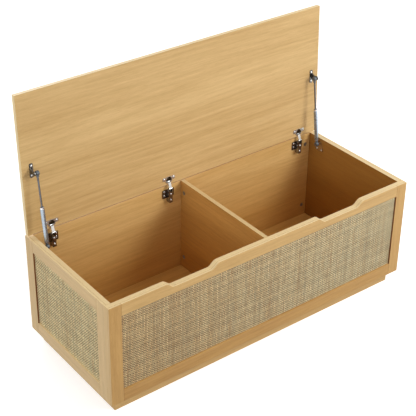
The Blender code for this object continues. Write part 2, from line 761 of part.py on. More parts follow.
def lid_bracket_mesh(sign):
    """Make one lid bracket in the lid's frame about its pivot: a plate, a curved ear and a stud."""
    foot = STRUT_LID_STANDOFF - SEAT
    outer = STRUT_INSET - LID_BRACKET_INSET
    plate_x = sorted((sign * outer, sign * (outer - LID_BRACKET_W)))
    half = LID_BRACKET_H / 2
    plate = rounded_box((plate_x[0], -half), (plate_x[1], half), BRACKET_EAR_T)
    item = link("lid_bracket", prism_mesh("lid_bracket", plate, "Z", foot - BRACKET_T, foot), None)
    waist = BRACKET_EAR_WAIST / 2
    waist_z = foot / 2
    flare = (waist + BRACKET_EAR_FLARE.x, waist_z + BRACKET_EAR_FLARE.y)
    side = [(BRACKET_EAR_FOOT / 2, foot - BRACKET_T / 2), flare, (waist, waist_z)]
    outline = [(-y, z) for y, z in side] + arc((0, 0), BRACKET_EAR_R, 160, 380, 2 * ARC_STEPS)
    outline += [(y, z) for y, z in reversed(side)]
    ear_x = sorted((sign * outer, sign * (outer - BRACKET_EAR_T)))
    fuse(item, prism_mesh("ear", outline, "X", *ear_x))
    stud = sorted((sign * (outer - BRACKET_EAR_T / 2), sign * (EYE_W / 2 + SEAT)))
    fuse(item, cylinder_mesh("stud", STUD_SHOULDER_R, *stud, ROUND_SIDES, "X"))
    holes = [facing((0, 0, 1), ((plate_x[0] + plate_x[1]) / 2, y, foot - BRACKET_T))
             for y in spread_pair(LID_BRACKET_SCREWS)]
    cut(item, bore_mesh(SCREW_HOLE_R, THROUGH, holes))
    mesh = item.data
    bpy.data.objects.remove(item)
    return mesh


def wall_bracket_spots():
    """List the (y, z) places of one wall bracket's two screws, about its pivot."""
    return [(y, -WALL_BRACKET_DROP) for y in spread_pair(WALL_BRACKET_FOOT)]


def wall_bracket_mesh(sign):
    """Make one wall bracket about its pivot: a three-cornered plate, and the stud through the eye."""
    wall = STRUT_INSET - WALL_T - SEAT
    plate_x = sorted((sign * wall, sign * (wall - BRACKET_T)))
    left, right = wall_bracket_spots()
    outline = arc((0, 0), WALL_BRACKET_R, 10, 170, ARC_STEPS)
    outline += arc(left, WALL_BRACKET_R, 170, 270, ARC_STEPS)
    outline += arc(right, WALL_BRACKET_R, 270, 370, ARC_STEPS)
    item = link("wall_bracket", prism_mesh("wall_bracket", outline, "X", *plate_x), None)
    shoulder = sorted((sign * (wall - BRACKET_T / 2), sign * (EYE_W / 2 + SEAT)))
    fuse(item, cylinder_mesh("shoulder", STUD_SHOULDER_R, *shoulder, ROUND_SIDES, "X"))
    stud = sorted((sign * (EYE_W / 2 + STUD_ROOT), -sign * (EYE_W / 2 + STUD_END)))
    fuse(item, cylinder_mesh("stud", STUD_R, *stud, ROUND_SIDES, "X"))
    holes = [facing((sign, 0, 0), (sign * (wall - BRACKET_T), y, z)) for y, z in wall_bracket_spots()]
    cut(item, bore_mesh(SCREW_HOLE_R, THROUGH, holes))
    mesh = item.data
    bpy.data.objects.remove(item)
    return mesh


def build_struts(lid_axis):
    """Build both gas struts with their brackets."""
    grey = material("strut_grey", STRUT_GREY, 0.35, 0.6)
    steel = material("rod_steel", ROD_STEEL, 0.3, 1.0)
    socket = material("socket_grey", SOCKET_GREY, 0.5)
    dark = material("bracket_nickel", DARK_NICKEL, 0.35, 1.0)
    tube, rod = tube_mesh(), rod_mesh()
    low_eye = eye_mesh("low_eye", 1, STUB_R, True)
    high_eye = eye_mesh("high_eye", -1, ROD_R, False)
    for side, sign in SIDES.items():
        x = sign * (HALF_W - STRUT_INSET)
        low_axis = axis_empty(f"strut_{side}_axis", place(x, STRUT_WALL.x, STRUT_WALL.y), STRUT_LEAN)
        high_axis = axis_empty(f"rod_{side}_axis", place(x, STRUT_LID_OPEN.x, STRUT_LID_OPEN.y), STRUT_LEAN)
        link(f"strut_{side}_tube", tube, grey, (0, 0, 0), low_axis)
        link(f"strut_{side}_tube_end", low_eye, socket, (0, 0, 0), low_axis)
        link(f"strut_{side}_rod", rod, steel, (0, 0, 0), high_axis)
        link(f"strut_{side}_rod_end", high_eye, socket, (0, 0, 0), high_axis)
        spot = on_lid(x, STRUT_LID_SETBACK, -STRUT_LID_STANDOFF)
        link(f"strut_{side}_lid_bracket", lid_bracket_mesh(sign), dark, spot, lid_axis)
        spot = place(x, STRUT_WALL.x, STRUT_WALL.y)
        link(f"strut_{side}_wall_bracket", wall_bracket_mesh(sign), dark, spot)


def cam_mesh():
    """Make one cam lock with a slot across its face, which lies at z = 0 and looks down."""
    item = link("cam", cylinder_mesh("cam", CAM_R, 0, CAM_DEPTH - CAM_CLEARANCE, ROUND_SIDES), None)
    long, short = CAM_SLOT_HALF_L, CAM_SLOT_W / 2
    for x, y in ((long, short), (short, long)):
        cut(item, box_mesh("slot", (-x, -y, -OVERSHOOT), (x, y, CAM_SLOT_DEPTH)))
    mesh = item.data
    bpy.data.objects.remove(item)
    return mesh


def build_cams(divider, back):
    """Build the cam locks that draw the divider to the back board, and the back board to the sides."""
    cam = cam_mesh()
    zinc = material("cam_zinc", CAM_ZINC, 0.45, 1.0)
    end = HALF_W - WALL_T - CAM_SETBACK
    divider_spots, back_spots = [], []
    for level, drop in CAM_DROPS.items():
        spot = (place(-BOARD_T / 2, BACK_Y - CAM_DIVIDER_SETBACK, RIM_Z - drop), Vector((1, 0, 0)))
        divider_spots.append((f"cam_divider_{level}", *spot))
        for side, sign in SIDES.items():
            spot = (place(sign * end, BACK_Y, RIM_Z - drop), Vector((0, 1, 0)))
            back_spots.append((f"cam_back_{side}_{level}", *spot))
    for wood, spots in ((divider, divider_spots), (back, back_spots)):
        holes = [(at, way) for _, at, way in spots]
        bore(wood, CAM_R + CAM_CLEARANCE, CAM_DEPTH + CAM_SINK, holes, ROUND_SIDES)
        for name, at, way in spots:
            item = link(name, cam, zinc, at + way * CAM_SINK)
            item.rotation_euler = way.to_track_quat("Z", "Y").to_euler()


def main():
    """Build the whole bench in an empty scene."""
    for item in list(bpy.data.objects):
        bpy.data.objects.remove(item)
    back, divider = build_carcass()
    build_plinth()
    build_front_face()
    build_side_faces()
    lid_axis = axis_empty("lid_axis", place(0, LID_CENTRE.x, LID_CENTRE.y), -LID_ANGLE)
    link_axis = axis_empty("link_axis", place(0, ARM_PIVOT.x, ARM_PIVOT.y), LINK_TURN)
    lid = build_lid(lid_axis)
    build_hinges(lid, lid_axis, link_axis)
    build_struts(lid_axis)
    build_cams(divider, back)


main()
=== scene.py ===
import json
import logging
import math
from dataclasses import dataclass, field
from enum import Enum

import bmesh
import bpy
from mathutils import Matrix, Vector


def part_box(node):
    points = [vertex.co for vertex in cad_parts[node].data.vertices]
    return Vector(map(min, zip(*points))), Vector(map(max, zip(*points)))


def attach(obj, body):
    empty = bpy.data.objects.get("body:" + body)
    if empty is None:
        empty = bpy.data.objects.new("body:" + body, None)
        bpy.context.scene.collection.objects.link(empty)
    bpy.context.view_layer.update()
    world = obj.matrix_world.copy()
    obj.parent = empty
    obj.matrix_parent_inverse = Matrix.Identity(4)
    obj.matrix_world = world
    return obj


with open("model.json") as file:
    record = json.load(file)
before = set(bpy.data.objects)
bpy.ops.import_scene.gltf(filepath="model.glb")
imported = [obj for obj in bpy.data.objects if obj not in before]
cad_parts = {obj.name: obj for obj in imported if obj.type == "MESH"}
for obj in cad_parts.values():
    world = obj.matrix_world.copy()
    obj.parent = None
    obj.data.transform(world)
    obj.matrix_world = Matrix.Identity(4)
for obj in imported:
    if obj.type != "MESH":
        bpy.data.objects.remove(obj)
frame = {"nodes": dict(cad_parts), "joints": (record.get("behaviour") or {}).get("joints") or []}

log = logging.getLogger("rattan bench")

Colour = tuple[int, int, int]
Socket = bpy.types.NodeSocket
Value = object

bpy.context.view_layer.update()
SIDES = {"left": -1, "right": 1}
HINGES = ("left", "middle", "right")
MILLIMETRE = 0.001
# painted side light: the oak's paler, greyer look under the whiter light from the left, laid on faces that
# look along the bench
SIDE_LIT_TONE = (216, 186, 138)
WHITE = (1.0, 1.0, 1.0, 1.0)
NOISE_BAND = (0.3, 0.7)


class Grain(Enum):
    """Which way a board's grain runs: how much each axis is stretched along it."""

    ACROSS_BENCH = (0.05, 1.0, 1.0)
    FRONT_TO_BACK = (1.0, 0.05, 1.0)
    UPRIGHT = (1.0, 1.0, 0.05)


class Edges(Enum):
    """Which of a board's faces are cut edges, unlike its veneer, as the axes that they look along."""

    NONE = (0.0, 0.0, 0.0)
    ENDS = (1.0, 0.0, 0.0)
    # the faces that look up and down, where the finishes paint a highlight on top rims and a shadow on the
    # back board's top
    LEVEL = (0.0, 0.0, 1.0)
    AROUND = (1.0, 0.0, 1.0)


class Face(Enum):
    """Which axis runs across a rattan sheet; its other one is always up."""

    FRONT = "X"
    SIDE = "Y"


def light_of(colour: Colour) -> tuple[float, float, float, float]:
    """Turn a colour as it is seen into the light that a shader takes.

    Args:
        colour: red, green and blue from 0 to 255.

    Returns:
        The linear colour with full opacity.
    """
    shares = [level / 255 for level in colour]
    return (*[s / 12.92 if s <= 0.04045 else ((s + 0.055) / 1.055) ** 2.4 for s in shares], 1.0)


class Net:
    """Writes the nodes of one material or node group."""

    def __init__(self, tree: bpy.types.NodeTree) -> None:
        """Take up a node tree.

        Args:
            tree: the tree that the nodes go into.
        """
        self.tree = tree

    def add(self, kind: str, **settings: Value) -> bpy.types.Node:
        """Add one node.

        Args:
            kind: the node's type, without its ShaderNode prefix.
            settings: values for the node's own attributes.

        Returns:
            The new node.
        """
        made = self.tree.nodes.new("ShaderNode" + kind)
        for key, value in settings.items():
            setattr(made, key, value)
        return made

    def feed(self, socket: Socket, value: Value) -> None:
        """Link a socket to another one, or give it a plain value.

        Args:
            socket: the input that is fed.
            value: an output socket, a number, a vector or a colour.
        """
        if isinstance(value, bpy.types.NodeSocket):
            self.tree.links.new(value, socket)
        else:
            socket.default_value = value

    def math(self, operation: str, *values: Value) -> Socket:
        """Work out one number.

        Args:
            operation: the Math node's operation.
            values: its inputs, as sockets or numbers.

        Returns:
            The result's socket.
        """
        made = self.add("Math", operation=operation)
        for socket, value in zip(made.inputs, values):
            self.feed(socket, value)
        return made.outputs[0]

    def vector(self, operation: str, *values: Value) -> Socket:
        """Work out one vector.

        Args:
            operation: the Vector Math node's operation.
            values: its inputs, as sockets or vectors.

        Returns:
            The result's socket.
        """
        made = self.add("VectorMath", operation=operation)
        for socket, value in zip(made.inputs, values):
            self.feed(socket, value)
        return made.outputs[0]

    def remap(self, value: Value, low: float, high: float, start: float, end: float) -> Socket:
        """Stretch a number from one range to another, held at its ends.

        Args:
            value: the number.
            low: the lower end of its own range.
            high: the upper end of its own range.
            start: what the lower end becomes.
            end: what the upper end becomes.

        Returns:
            The new number's socket.
        """
        made = self.add("MapRange")
        for socket, entry in zip(made.inputs, (value, low, high, start, end)):
            self.feed(socket, entry)
        return made.outputs[0]

    def blend(self, share: Value, first: Value, second: Value, way: str = "MIX") -> Socket:
        """Blend two colours.

        Args:
            share: how much of the second one shows.
            first: the colour below.
            second: the colour above.
            way: the Mix node's blend type.

        Returns:
            The blended colour's socket.
        """
        made = self.add("Mix", data_type="RGBA", blend_type=way)
        self.feed(made.inputs["Factor"], share)
        self.feed(made.inputs[6], first)
        self.feed(made.inputs[7], second)
        return made.outputs[2]

    def noise(self, place: Value, scale: float, detail: float = 2.0, rough: float = 0.5) -> Socket:
        """Give soft noise over a place.

        Args:
            place: the point that it is read at.
            scale: waves per metre.
            detail: how many finer layers lie on it.
            rough: how strong the finer layers are.

        Returns:
            The noise, around 0.5.
        """
        made = self.add("TexNoise")
        self.feed(made.inputs["Vector"], place)
        self.feed(made.inputs["Scale"], scale)
        self.feed(made.inputs["Detail"], detail)
        self.feed(made.inputs["Roughness"], rough)
        return made.outputs["Fac"]

    def chance(self, number: Value) -> Socket:
        """Give a fixed random value from 0 to 1 for each whole number.

        Args:
            number: the number.

        Returns:
            The random value's socket.
        """
        made = self.add("TexWhiteNoise", noise_dimensions="1D")
        self.feed(made.inputs["W"], number)
        return made.outputs["Value"]

    def scatter(self, cell: Value) -> Socket:
        """Give a fixed random value from 0 to 1 for each cell of a grid.

        Args:
            cell: the cell's whole numbers, as a vector.

        Returns:
            The random value's socket.
        """
        made = self.add("TexWhiteNoise", noise_dimensions="3D")
        self.feed(made.inputs["Vector"], cell)
        return made.outputs["Value"]

    def point(self, x: Value, y: Value, z: Value) -> Socket:
        """Join three numbers into a vector.

        Args:
            x: the first number.
            y: the second number.
            z: the third number.

        Returns:
            The vector's socket.
        """
        made = self.add("CombineXYZ")
        for socket, value in zip(made.inputs, (x, y, z)):
            self.feed(socket, value)
        return made.outputs[0]

    def even(self, number: Value) -> Socket:
        """Give a vector, or a grey, with the same number three times."""
        return self.point(number, number, number)

    def split(self, place: Value) -> list[Socket]:
        """Part a vector into its three numbers.

        Args:
            place: the vector.

        Returns:
            The sockets of x, y and z.
        """
        made = self.add("SeparateXYZ")
        self.feed(made.inputs[0], place)
        return list(made.outputs)

    def along(self, place: Value, way: Value) -> Socket:
        """Give how far a vector reaches along a direction.

        Args:
            place: the vector.
            way: the direction.

        Returns:
            The length's socket.
        """
        x, y, z = self.split(self.vector("MULTIPLY", place, way))
        return self.math("ADD", x, self.math("ADD", y, z))

    def group(self, tree: bpy.types.NodeTree, **inputs: Value) -> bpy.types.Node:
        """Place a node group with values of its own.

        Args:
            tree: the node group.
            inputs: what its inputs take, by their names with low lines for spaces.

        Returns:
            The group's node.
        """
        made = self.add("Group", node_tree=tree)
        for label, value in inputs.items():
            self.feed(made.inputs[label.replace("_", " ")], value)
        return made


def new_group(
    name: str, inputs: dict[str, str], outputs: dict[str, str]
) -> tuple[bpy.types.NodeTree, Net, list[Socket], list[Socket]]:
    """Start a shader node group.

    Args:
        name: the group's name.
        inputs: its inputs' names and socket types, without their NodeSocket prefix.
        outputs: its outputs' names and socket types.

    Returns:
        The group, its net, the sockets that its inputs come from and those that its outputs go to.
    """
    tree = bpy.data.node_groups.new(name, "ShaderNodeTree")
    for direction, sockets in (("INPUT", inputs), ("OUTPUT", outputs)):
        for label, kind in sockets.items():
            tree.interface.new_socket(name=label, in_out=direction, socket_type="NodeSocket" + kind)
    start = tree.nodes.new("NodeGroupInput")
    end = tree.nodes.new("NodeGroupOutput")
    return tree, Net(tree), list(start.outputs)[:-1], list(end.inputs)[:-1]


@dataclass(frozen=True)
class OakGrain:
    """The grain of oak veneer: soft bands, fine lines and short pores along the board, in waves per metre."""

    drift: float = 7.0
    drift_reach: float = 50 * MILLIMETRE
    bands: float = 13.0
    lines: float = 95.0
    line_roughness: float = 0.60
    fine: float = 430.0
    pores: float = 1000.0
    pore_edge: tuple[float, float] = (0.60, 0.72)
    shares: tuple[float, float, float] = (0.70, 0.90, 0.40)
    dark_to_light: tuple[float, float] = (0.72, 1.28)
    pore_tone: float = 0.22
    gloss: tuple[float, float] = (0.44, 0.56)
    line_height: float = 0.6
    pore_depth: float = 0.5

    def build(self) -> bpy.types.NodeTree:
        """Build the effect.

        Returns:
            The node group.
        """
        tree, net, (place, stretch, light, dark), (colour, gloss, height) = new_group(
            "oak_grain",
            {"Place": "Vector", "Stretch": "Vector", "Light": "Color", "Dark": "Color"},
            {"Color": "Color", "Roughness": "Float", "Height": "Float"},
        )
        straight = net.vector("MULTIPLY", place, stretch)
        drift = net.math("MULTIPLY", net.noise(straight, self.drift, 1.0), self.drift_reach)
        bent = net.vector("ADD", straight, net.even(drift))
        bands = net.noise(bent, self.bands, 2.0)
        lines = net.noise(bent, self.lines, 4.0, self.line_roughness)
        fine = net.noise(bent, self.fine, 2.0)
        pores = net.remap(net.noise(bent, self.pores, 1.0), *self.pore_edge, 0.0, 1.0)
        wide, thin, finest = (
            net.math("MULTIPLY", layer, share) for layer, share in zip((bands, lines, fine), self.shares)
        )
        tone = net.math("ADD", net.math("ADD", wide, thin), finest)
        base = net.blend(net.remap(tone, *self.dark_to_light, 0.0, 1.0), dark, light)
        net.feed(colour, net.blend(net.math("MULTIPLY", pores, self.pore_tone), base, dark, "MULTIPLY"))
        net.feed(gloss, net.remap(lines, *NOISE_BAND, *self.gloss))
        raised = net.math("MULTIPLY", lines, self.line_height)
        sunk = net.math("MULTIPLY", pores, self.pore_depth)
        net.feed(height, net.math("SUBTRACT", raised, sunk))
        return tree


@dataclass(frozen=True)
class Strands:
    """The strands that run one way: how far their tones differ, how strongly brown stains them, and their
    shade, partly their own tone and partly painted light and shade.
    """

    side: float
    spread: float
    stain: float
    shade: tuple[float, float, float]


@dataclass(frozen=True)
class CaneWeave:
    """A plain weave of flat strands, each of its own tone, with painted shade where they dip and between
    them; the upright strands are painted lighter and the level ones darker.

    Its waves are in waves per metre along the strands, and its sway is in strands.
    """

    # painted light on the upright strands and painted shade on the level ones, partly their own tones
    upright: Strands = Strands(1.0, 0.05, 0.45, (1.38, 1.42, 1.42))
    level: Strands = Strands(-1.0, 0.36, 0.90, (0.73, 0.67, 0.57))
    sway_waves: float = 7.0
    sway: float = 0.5
    rounding: float = 4.4
    crown: float = 0.55
    dip: float = 0.45
    first_strand: float = 131.0
    way_shift: float = 57.0
    run_waves: float = 11.0
    run_apart: float = 3.7
    grey_to_pale: tuple[float, float, float, float] = (0.05, 0.60, 0.3, 1.0)
    tanned: tuple[float, float, float, float] = (0.42, 0.66, 0.0, 0.55)
    stained: tuple[float, float, float, float] = (0.78, 0.98, 0.0, 1.0)
    stain_run: tuple[float, float, float] = (0.40, 0.60, 0.15)
    lit: tuple[float, float, float, float] = (0.25, 0.80, 0.70, 1.10)
    cells: tuple[float, float] = (0.84, 1.16)
    # painted shade between the strands, where the rise is low
    gap_shading: tuple[float, float, float, float] = (0.10, 0.50, 1.0, 0.0)
    gloss: tuple[float, float, float, float] = (0.2, 1.0, 0.80, 0.55)

    def build(self) -> bpy.types.NodeTree:
        """Build the effect.

        Returns:
            The node group.
        """
        tree, net, inputs, (colour, gloss, height) = new_group(
            "cane_weave",
            {"Across": "Float", "Up": "Float", "Pitch Across": "Float", "Pitch Up": "Float",
             "Pale": "Color", "Tan": "Color", "Grey": "Color", "Brown": "Color", "Gap": "Color"},
            {"Color": "Color", "Roughness": "Float", "Height": "Float"},
        )
        across, up, pitch_across, pitch_up, pale, tan, grey, brown, gap = inputs
        wander = net.math("MULTIPLY", net.noise(net.point(across, up, 0.0), self.sway_waves, 1.0), self.sway)
        count = {"upright": net.math("ADD", net.math("DIVIDE", across, pitch_across), wander),
                 "level": net.math("ADD", net.math("DIVIDE", up, pitch_up), wander)}
        index = {way: net.math("FLOOR", number) for way, number in count.items()}
        offset = {way: net.math("SUBTRACT", net.math("FRACT", number), 0.5) for way, number in count.items()}
        turn = net.math("FLOORED_MODULO", net.math("ADD", index["upright"], index["level"]), 2.0)
        sign = net.math("SUBTRACT", net.math("MULTIPLY", turn, 2.0), 1.0)
        along = {"upright": up, "level": across}
        other = {"upright": "level", "level": "upright"}
        cell = net.scatter(net.point(index["upright"], index["level"], 0.5))
        rises, tones = {}, {}
        for way, strands in (("upright", self.upright), ("level", self.level)):
            edge = net.math("MULTIPLY", offset[way], offset[way])
            crown = net.math("SUBTRACT", 1.0, net.math("MULTIPLY", edge, self.rounding))
            wave = net.math("COSINE", net.math("MULTIPLY", offset[other[way]], math.pi))
            dip = net.math("MULTIPLY", net.math("MULTIPLY", wave, sign), self.dip * strands.side)
            rises[way] = net.math("ADD", net.math("MULTIPLY", crown, self.crown), dip)
            strand = net.math("ADD", index[way], self.first_strand + self.way_shift * strands.side)
            own = net.chance(strand)
            apart = net.math("MULTIPLY", strand, self.run_apart)
            run = net.noise(net.point(net.math("MULTIPLY", along[way], self.run_waves), apart, 0.0), 1.0, 2.0)
            straw = net.blend(net.remap(own, *self.grey_to_pale), grey, pale)
            straw = net.blend(net.remap(run, *self.tanned), straw, tan)
            stained = net.remap(own, *self.stained)
            stained = net.math("MULTIPLY", stained, net.remap(run, *self.stain_run, strands.stain))
            straw = net.blend(stained, straw, brown)
            lean = net.chance(net.math("ADD", strand, 0.5))
            lean = net.remap(lean, 0.0, 1.0, 1.0 - strands.spread, 1.0 + strands.spread)
            # each way's shade: partly the strand's own tone, partly painted light and shade
            tones[way] = net.vector("MULTIPLY", net.vector("MULTIPLY", straw, strands.shade), net.even(lean))
        above = net.math("GREATER_THAN", rises["upright"], rises["level"])
        rise = net.math("MAXIMUM", rises["upright"], rises["level"])
        woven = net.blend(above, tones["level"], tones["upright"])
        lit = net.math("MULTIPLY", net.remap(rise, *self.lit), net.remap(cell, 0.0, 1.0, *self.cells))
        woven = net.blend(1.0, woven, net.even(lit), "MULTIPLY")
        # painted shade between the strands, where they dip lowest
        net.feed(colour, net.blend(net.remap(rise, *self.gap_shading), woven, gap))
        net.feed(gloss, net.remap(rise, *self.gloss))
        net.feed(height, rise)
        return tree


@dataclass(frozen=True)
class CutEdge:
    """The mask of a board's cut edges: the faces that look nearly straight along the given axes."""

    turned: float = 0.6

    def build(self) -> bpy.types.NodeTree:
        """Build the effect.

        Returns:
            The node group.
        """
        tree, net, (normal, axes), (mask,) = new_group(
            "cut_edge", {"Normal": "Vector", "Axes": "Vector"}, {"Mask": "Float"}
        )
        x, y, z = net.split(net.vector("MULTIPLY", net.vector("ABSOLUTE", normal), axes))
        furthest = net.math("MAXIMUM", x, net.math("MAXIMUM", y, z))
        net.feed(mask, net.math("GREATER_THAN", furthest, self.turned))
        return tree


@dataclass(frozen=True)
class HandlingMarks:
    """Light handling marks: soft smudges and fine brushed lines that change gloss and tone."""

    smudges: float = 60.0
    lines: float = 700.0
    squeeze: tuple[float, float, float] = (1.0, 6.0, 6.0)
    shares: tuple[float, float] = (0.7, 0.3)
    tones: tuple[float, float] = (0.82, 1.08)

    def build(self) -> bpy.types.NodeTree:
        """Build the effect.

        Returns:
            The node group.
        """
        tree, net, (place, tone, gloss_low, gloss_high), (colour, gloss, height) = new_group(
            "handling",
            {"Place": "Vector", "Tone": "Color", "Gloss Low": "Float", "Gloss High": "Float"},
            {"Color": "Color", "Roughness": "Float", "Height": "Float"},
        )
        smudge = net.noise(place, self.smudges, 3.0)
        lines = net.noise(net.vector("MULTIPLY", place, self.squeeze), self.lines, 2.0)
        soft, sharp = (
            net.math("MULTIPLY", layer, share) for layer, share in zip((smudge, lines), self.shares)
        )
        mark = net.math("ADD", soft, sharp)
        shade = net.even(net.remap(mark, *NOISE_BAND, *self.tones))
        net.feed(colour, net.blend(1.0, tone, shade, "MULTIPLY"))
        net.feed(gloss, net.remap(mark, *NOISE_BAND, gloss_low, gloss_high))
        net.feed(height, lines)
        return tree


@dataclass
class Groups:
    """The node groups that the finishes share."""

    grain: bpy.types.NodeTree = field(default_factory=OakGrain().build)
    edge: bpy.types.NodeTree = field(default_factory=CutEdge().build)
    weave: bpy.types.NodeTree = field(default_factory=CaneWeave().build)
    wear: bpy.types.NodeTree = field(default_factory=HandlingMarks().build)


def start_material(name: str) -> tuple[bpy.types.Material, Net, bpy.types.Node, Socket]:
    """Start a material whose patterns are read from the object's own place.

    Args:
        name: the material's name.

    Returns:
        The material, its net, its Principled shader and the place's socket.
    """
    made = bpy.data.materials.new(name)
    made.use_nodes = True
    net = Net(made.node_tree)
    place = net.add("TexCoord").outputs["Object"]
    return made, net, made.node_tree.nodes["Principled BSDF"], place


def wire(net: Net, shader: bpy.types.Node, group: bpy.types.Node, bump: float, reach: float) -> None:
    """Lead a pattern's colour, roughness and height into a shader.

    Args:
        net: the material's net.
        shader: its Principled shader.
        group: the pattern's group node.
        bump: how strongly the height shows.
        reach: how tall the height is, in metres.
    """
    net.feed(shader.inputs["Base Color"], group.outputs["Color"])
    net.feed(shader.inputs["Roughness"], group.outputs["Roughness"])
    relief = net.add("Bump")
    net.feed(relief.inputs["Strength"], bump)
    net.feed(relief.inputs["Distance"], reach)
    net.feed(relief.inputs["Height"], group.outputs["Height"])
    net.feed(shader.inputs["Normal"], relief.outputs["Normal"])


@dataclass(frozen=True)
class WoodFinish:
    """Satin lacquered oak veneer, with paler cut edges: partly their own tone, partly painted highlight."""

    name: str
    grain: Grain
    light: Colour = (220, 186, 130)
    dark: Colour = (194, 156, 99)
    start: float = 0.0
    edges: Edges = Edges.LEVEL
    # tone of the chosen edge faces: by default a painted highlight, partly the cut edge's own paler tone
    edge_tone: Colour = (244, 220, 172)
    end_tone: Colour | None = None
    # how strongly the edge tone, with its painted highlight, shows
    edge_share: float = 0.85
    relief: tuple[float, float] = (0.25, 0.2 * MILLIMETRE)
    sheen: float = 0.5

    def material(self, groups: Groups) -> bpy.types.Material:
        """Make the material.

        Args:
            groups: the shared node groups.

        Returns:
            The material.
        """
        made, net, shader, place = start_material(self.name)
        start = net.vector("ADD", place, (self.start, self.start, self.start))
        group = net.group(
            groups.grain, Place=start, Stretch=self.grain.value,
            Light=light_of(self.light), Dark=light_of(self.dark),
        )
        wire(net, shader, group, *self.relief)
        net.feed(shader.inputs["Base Color"], self.tone(net, groups, group.outputs["Color"]))
        net.feed(shader.inputs["Specular IOR Level"], self.sheen)
        return made

    def cut(self, net: Net, groups: Groups, veneer: Socket, edges: Edges, tone: Colour) -> Socket:
        """Lay a tone over some of a board's faces.

        Args:
            net: the material's net.
            groups: the shared node groups.
            veneer: the colour below.
            edges: the faces.
            tone: their tone.

        Returns:
            The colour's socket.
        """
        mask = net.group(groups.edge, Normal=net.add("TexCoord").outputs["Normal"], Axes=edges.value)
        return net.blend(net.math("MULTIPLY", mask.outputs["Mask"], self.edge_share), veneer, light_of(tone))

    def tone(self, net: Net, groups: Groups, veneer: Socket) -> Socket:
        """Give the board's colour, with painted highlight on its pale edges, painted shadow on dark ones, and
        painted side light on its ends.

        Args:
            net: the material's net.
            groups: the shared node groups.
            veneer: the veneer's colour.

        Returns:
            The colour's socket.
        """
        if self.end_tone:
            veneer = self.cut(net, groups, veneer, Edges.ENDS, self.end_tone)
        return self.cut(net, groups, veneer, self.edges, self.edge_tone)


@dataclass(frozen=True)
class InsideFinish(WoodFinish):
    """Oak veneer inside the box, with painted shade over its inner face that darkens further below the rim.

    With no direction inward, as on the divider, all its faces count as inner ones.
    """

    rim: float = 0.0
    inward: tuple[float, float, float] = (0.0, 0.0, 0.0)
    # painted shade below the rim: where it begins, where it is full, its colour, and the painted shade over
    # the whole inner face
    shade_starts: float = 60 * MILLIMETRE
    deep: float = 260 * MILLIMETRE
    painted_depth_shade: Colour = (245, 230, 196)
    shade: Colour = (255, 255, 255)
    turned: float = 0.25

    def tone(self, net: Net, groups: Groups, veneer: Socket) -> Socket:
        """Give the board's colour, with painted shade on its inner face that darkens away from the rim.

        Args:
            net: the material's net.
            groups: the shared node groups.
            veneer: the veneer's colour.

        Returns:
            The colour's socket.
        """
        coordinates = net.add("TexCoord").outputs
        height = net.split(coordinates["Object"])[2]
        facing_in = net.along(coordinates["Normal"], self.inward)
        inner = net.math("GREATER_THAN", facing_in, self.turned if any(self.inward) else -self.turned)
        # painted shade, darker with depth below the rim, on the inner face only
        share = net.remap(height, self.rim - self.deep, self.rim - self.shade_starts, 1.0, 0.0)
        share = net.math("MULTIPLY", inner, share)
        # painted shade over the whole inner face
        painted_shade = net.blend(inner, veneer, light_of(self.shade), "MULTIPLY")
        return super().tone(net, groups, net.blend(share, painted_shade, light_of(self.painted_depth_shade), "MULTIPLY"))


@dataclass(frozen=True)
class StileFinish(WoodFinish):
    """Oak veneer on an upright member, dark brown where it borders the rattan: partly raw board, partly
    painted shadow in the reveal.
    """

    face: Face = Face.FRONT
    opening: tuple[float, float] = (0.0, 0.0)
    # dark brown of the reveal beside the rattan: partly raw board, partly painted shadow
    core_and_shadow: Colour = (126, 72, 28)
    lap: float = 0.4 * MILLIMETRE

    def tone(self, net: Net, groups: Groups, veneer: Socket) -> Socket:
        """Give the member's colour, dark brown between the sheet's two ends: partly raw board, partly painted
        shadow.

        Args:
            net: the material's net.
            groups: the shared node groups.
            veneer: the veneer's colour.

        Returns:
            The colour's socket.
        """
        x, y, _ = net.split(net.add("TexCoord").outputs["Object"])
        across = x if self.face is Face.FRONT else y
        low, high = self.opening
        past = net.math("GREATER_THAN", across, low - self.lap)
        before = net.math("LESS_THAN", across, high + self.lap)
        # painted shadow in the reveal, partly raw board, between the sheet's ends
        reveal = net.math("MULTIPLY", past, before)
        return net.blend(reveal, super().tone(net, groups, veneer), light_of(self.core_and_shadow))


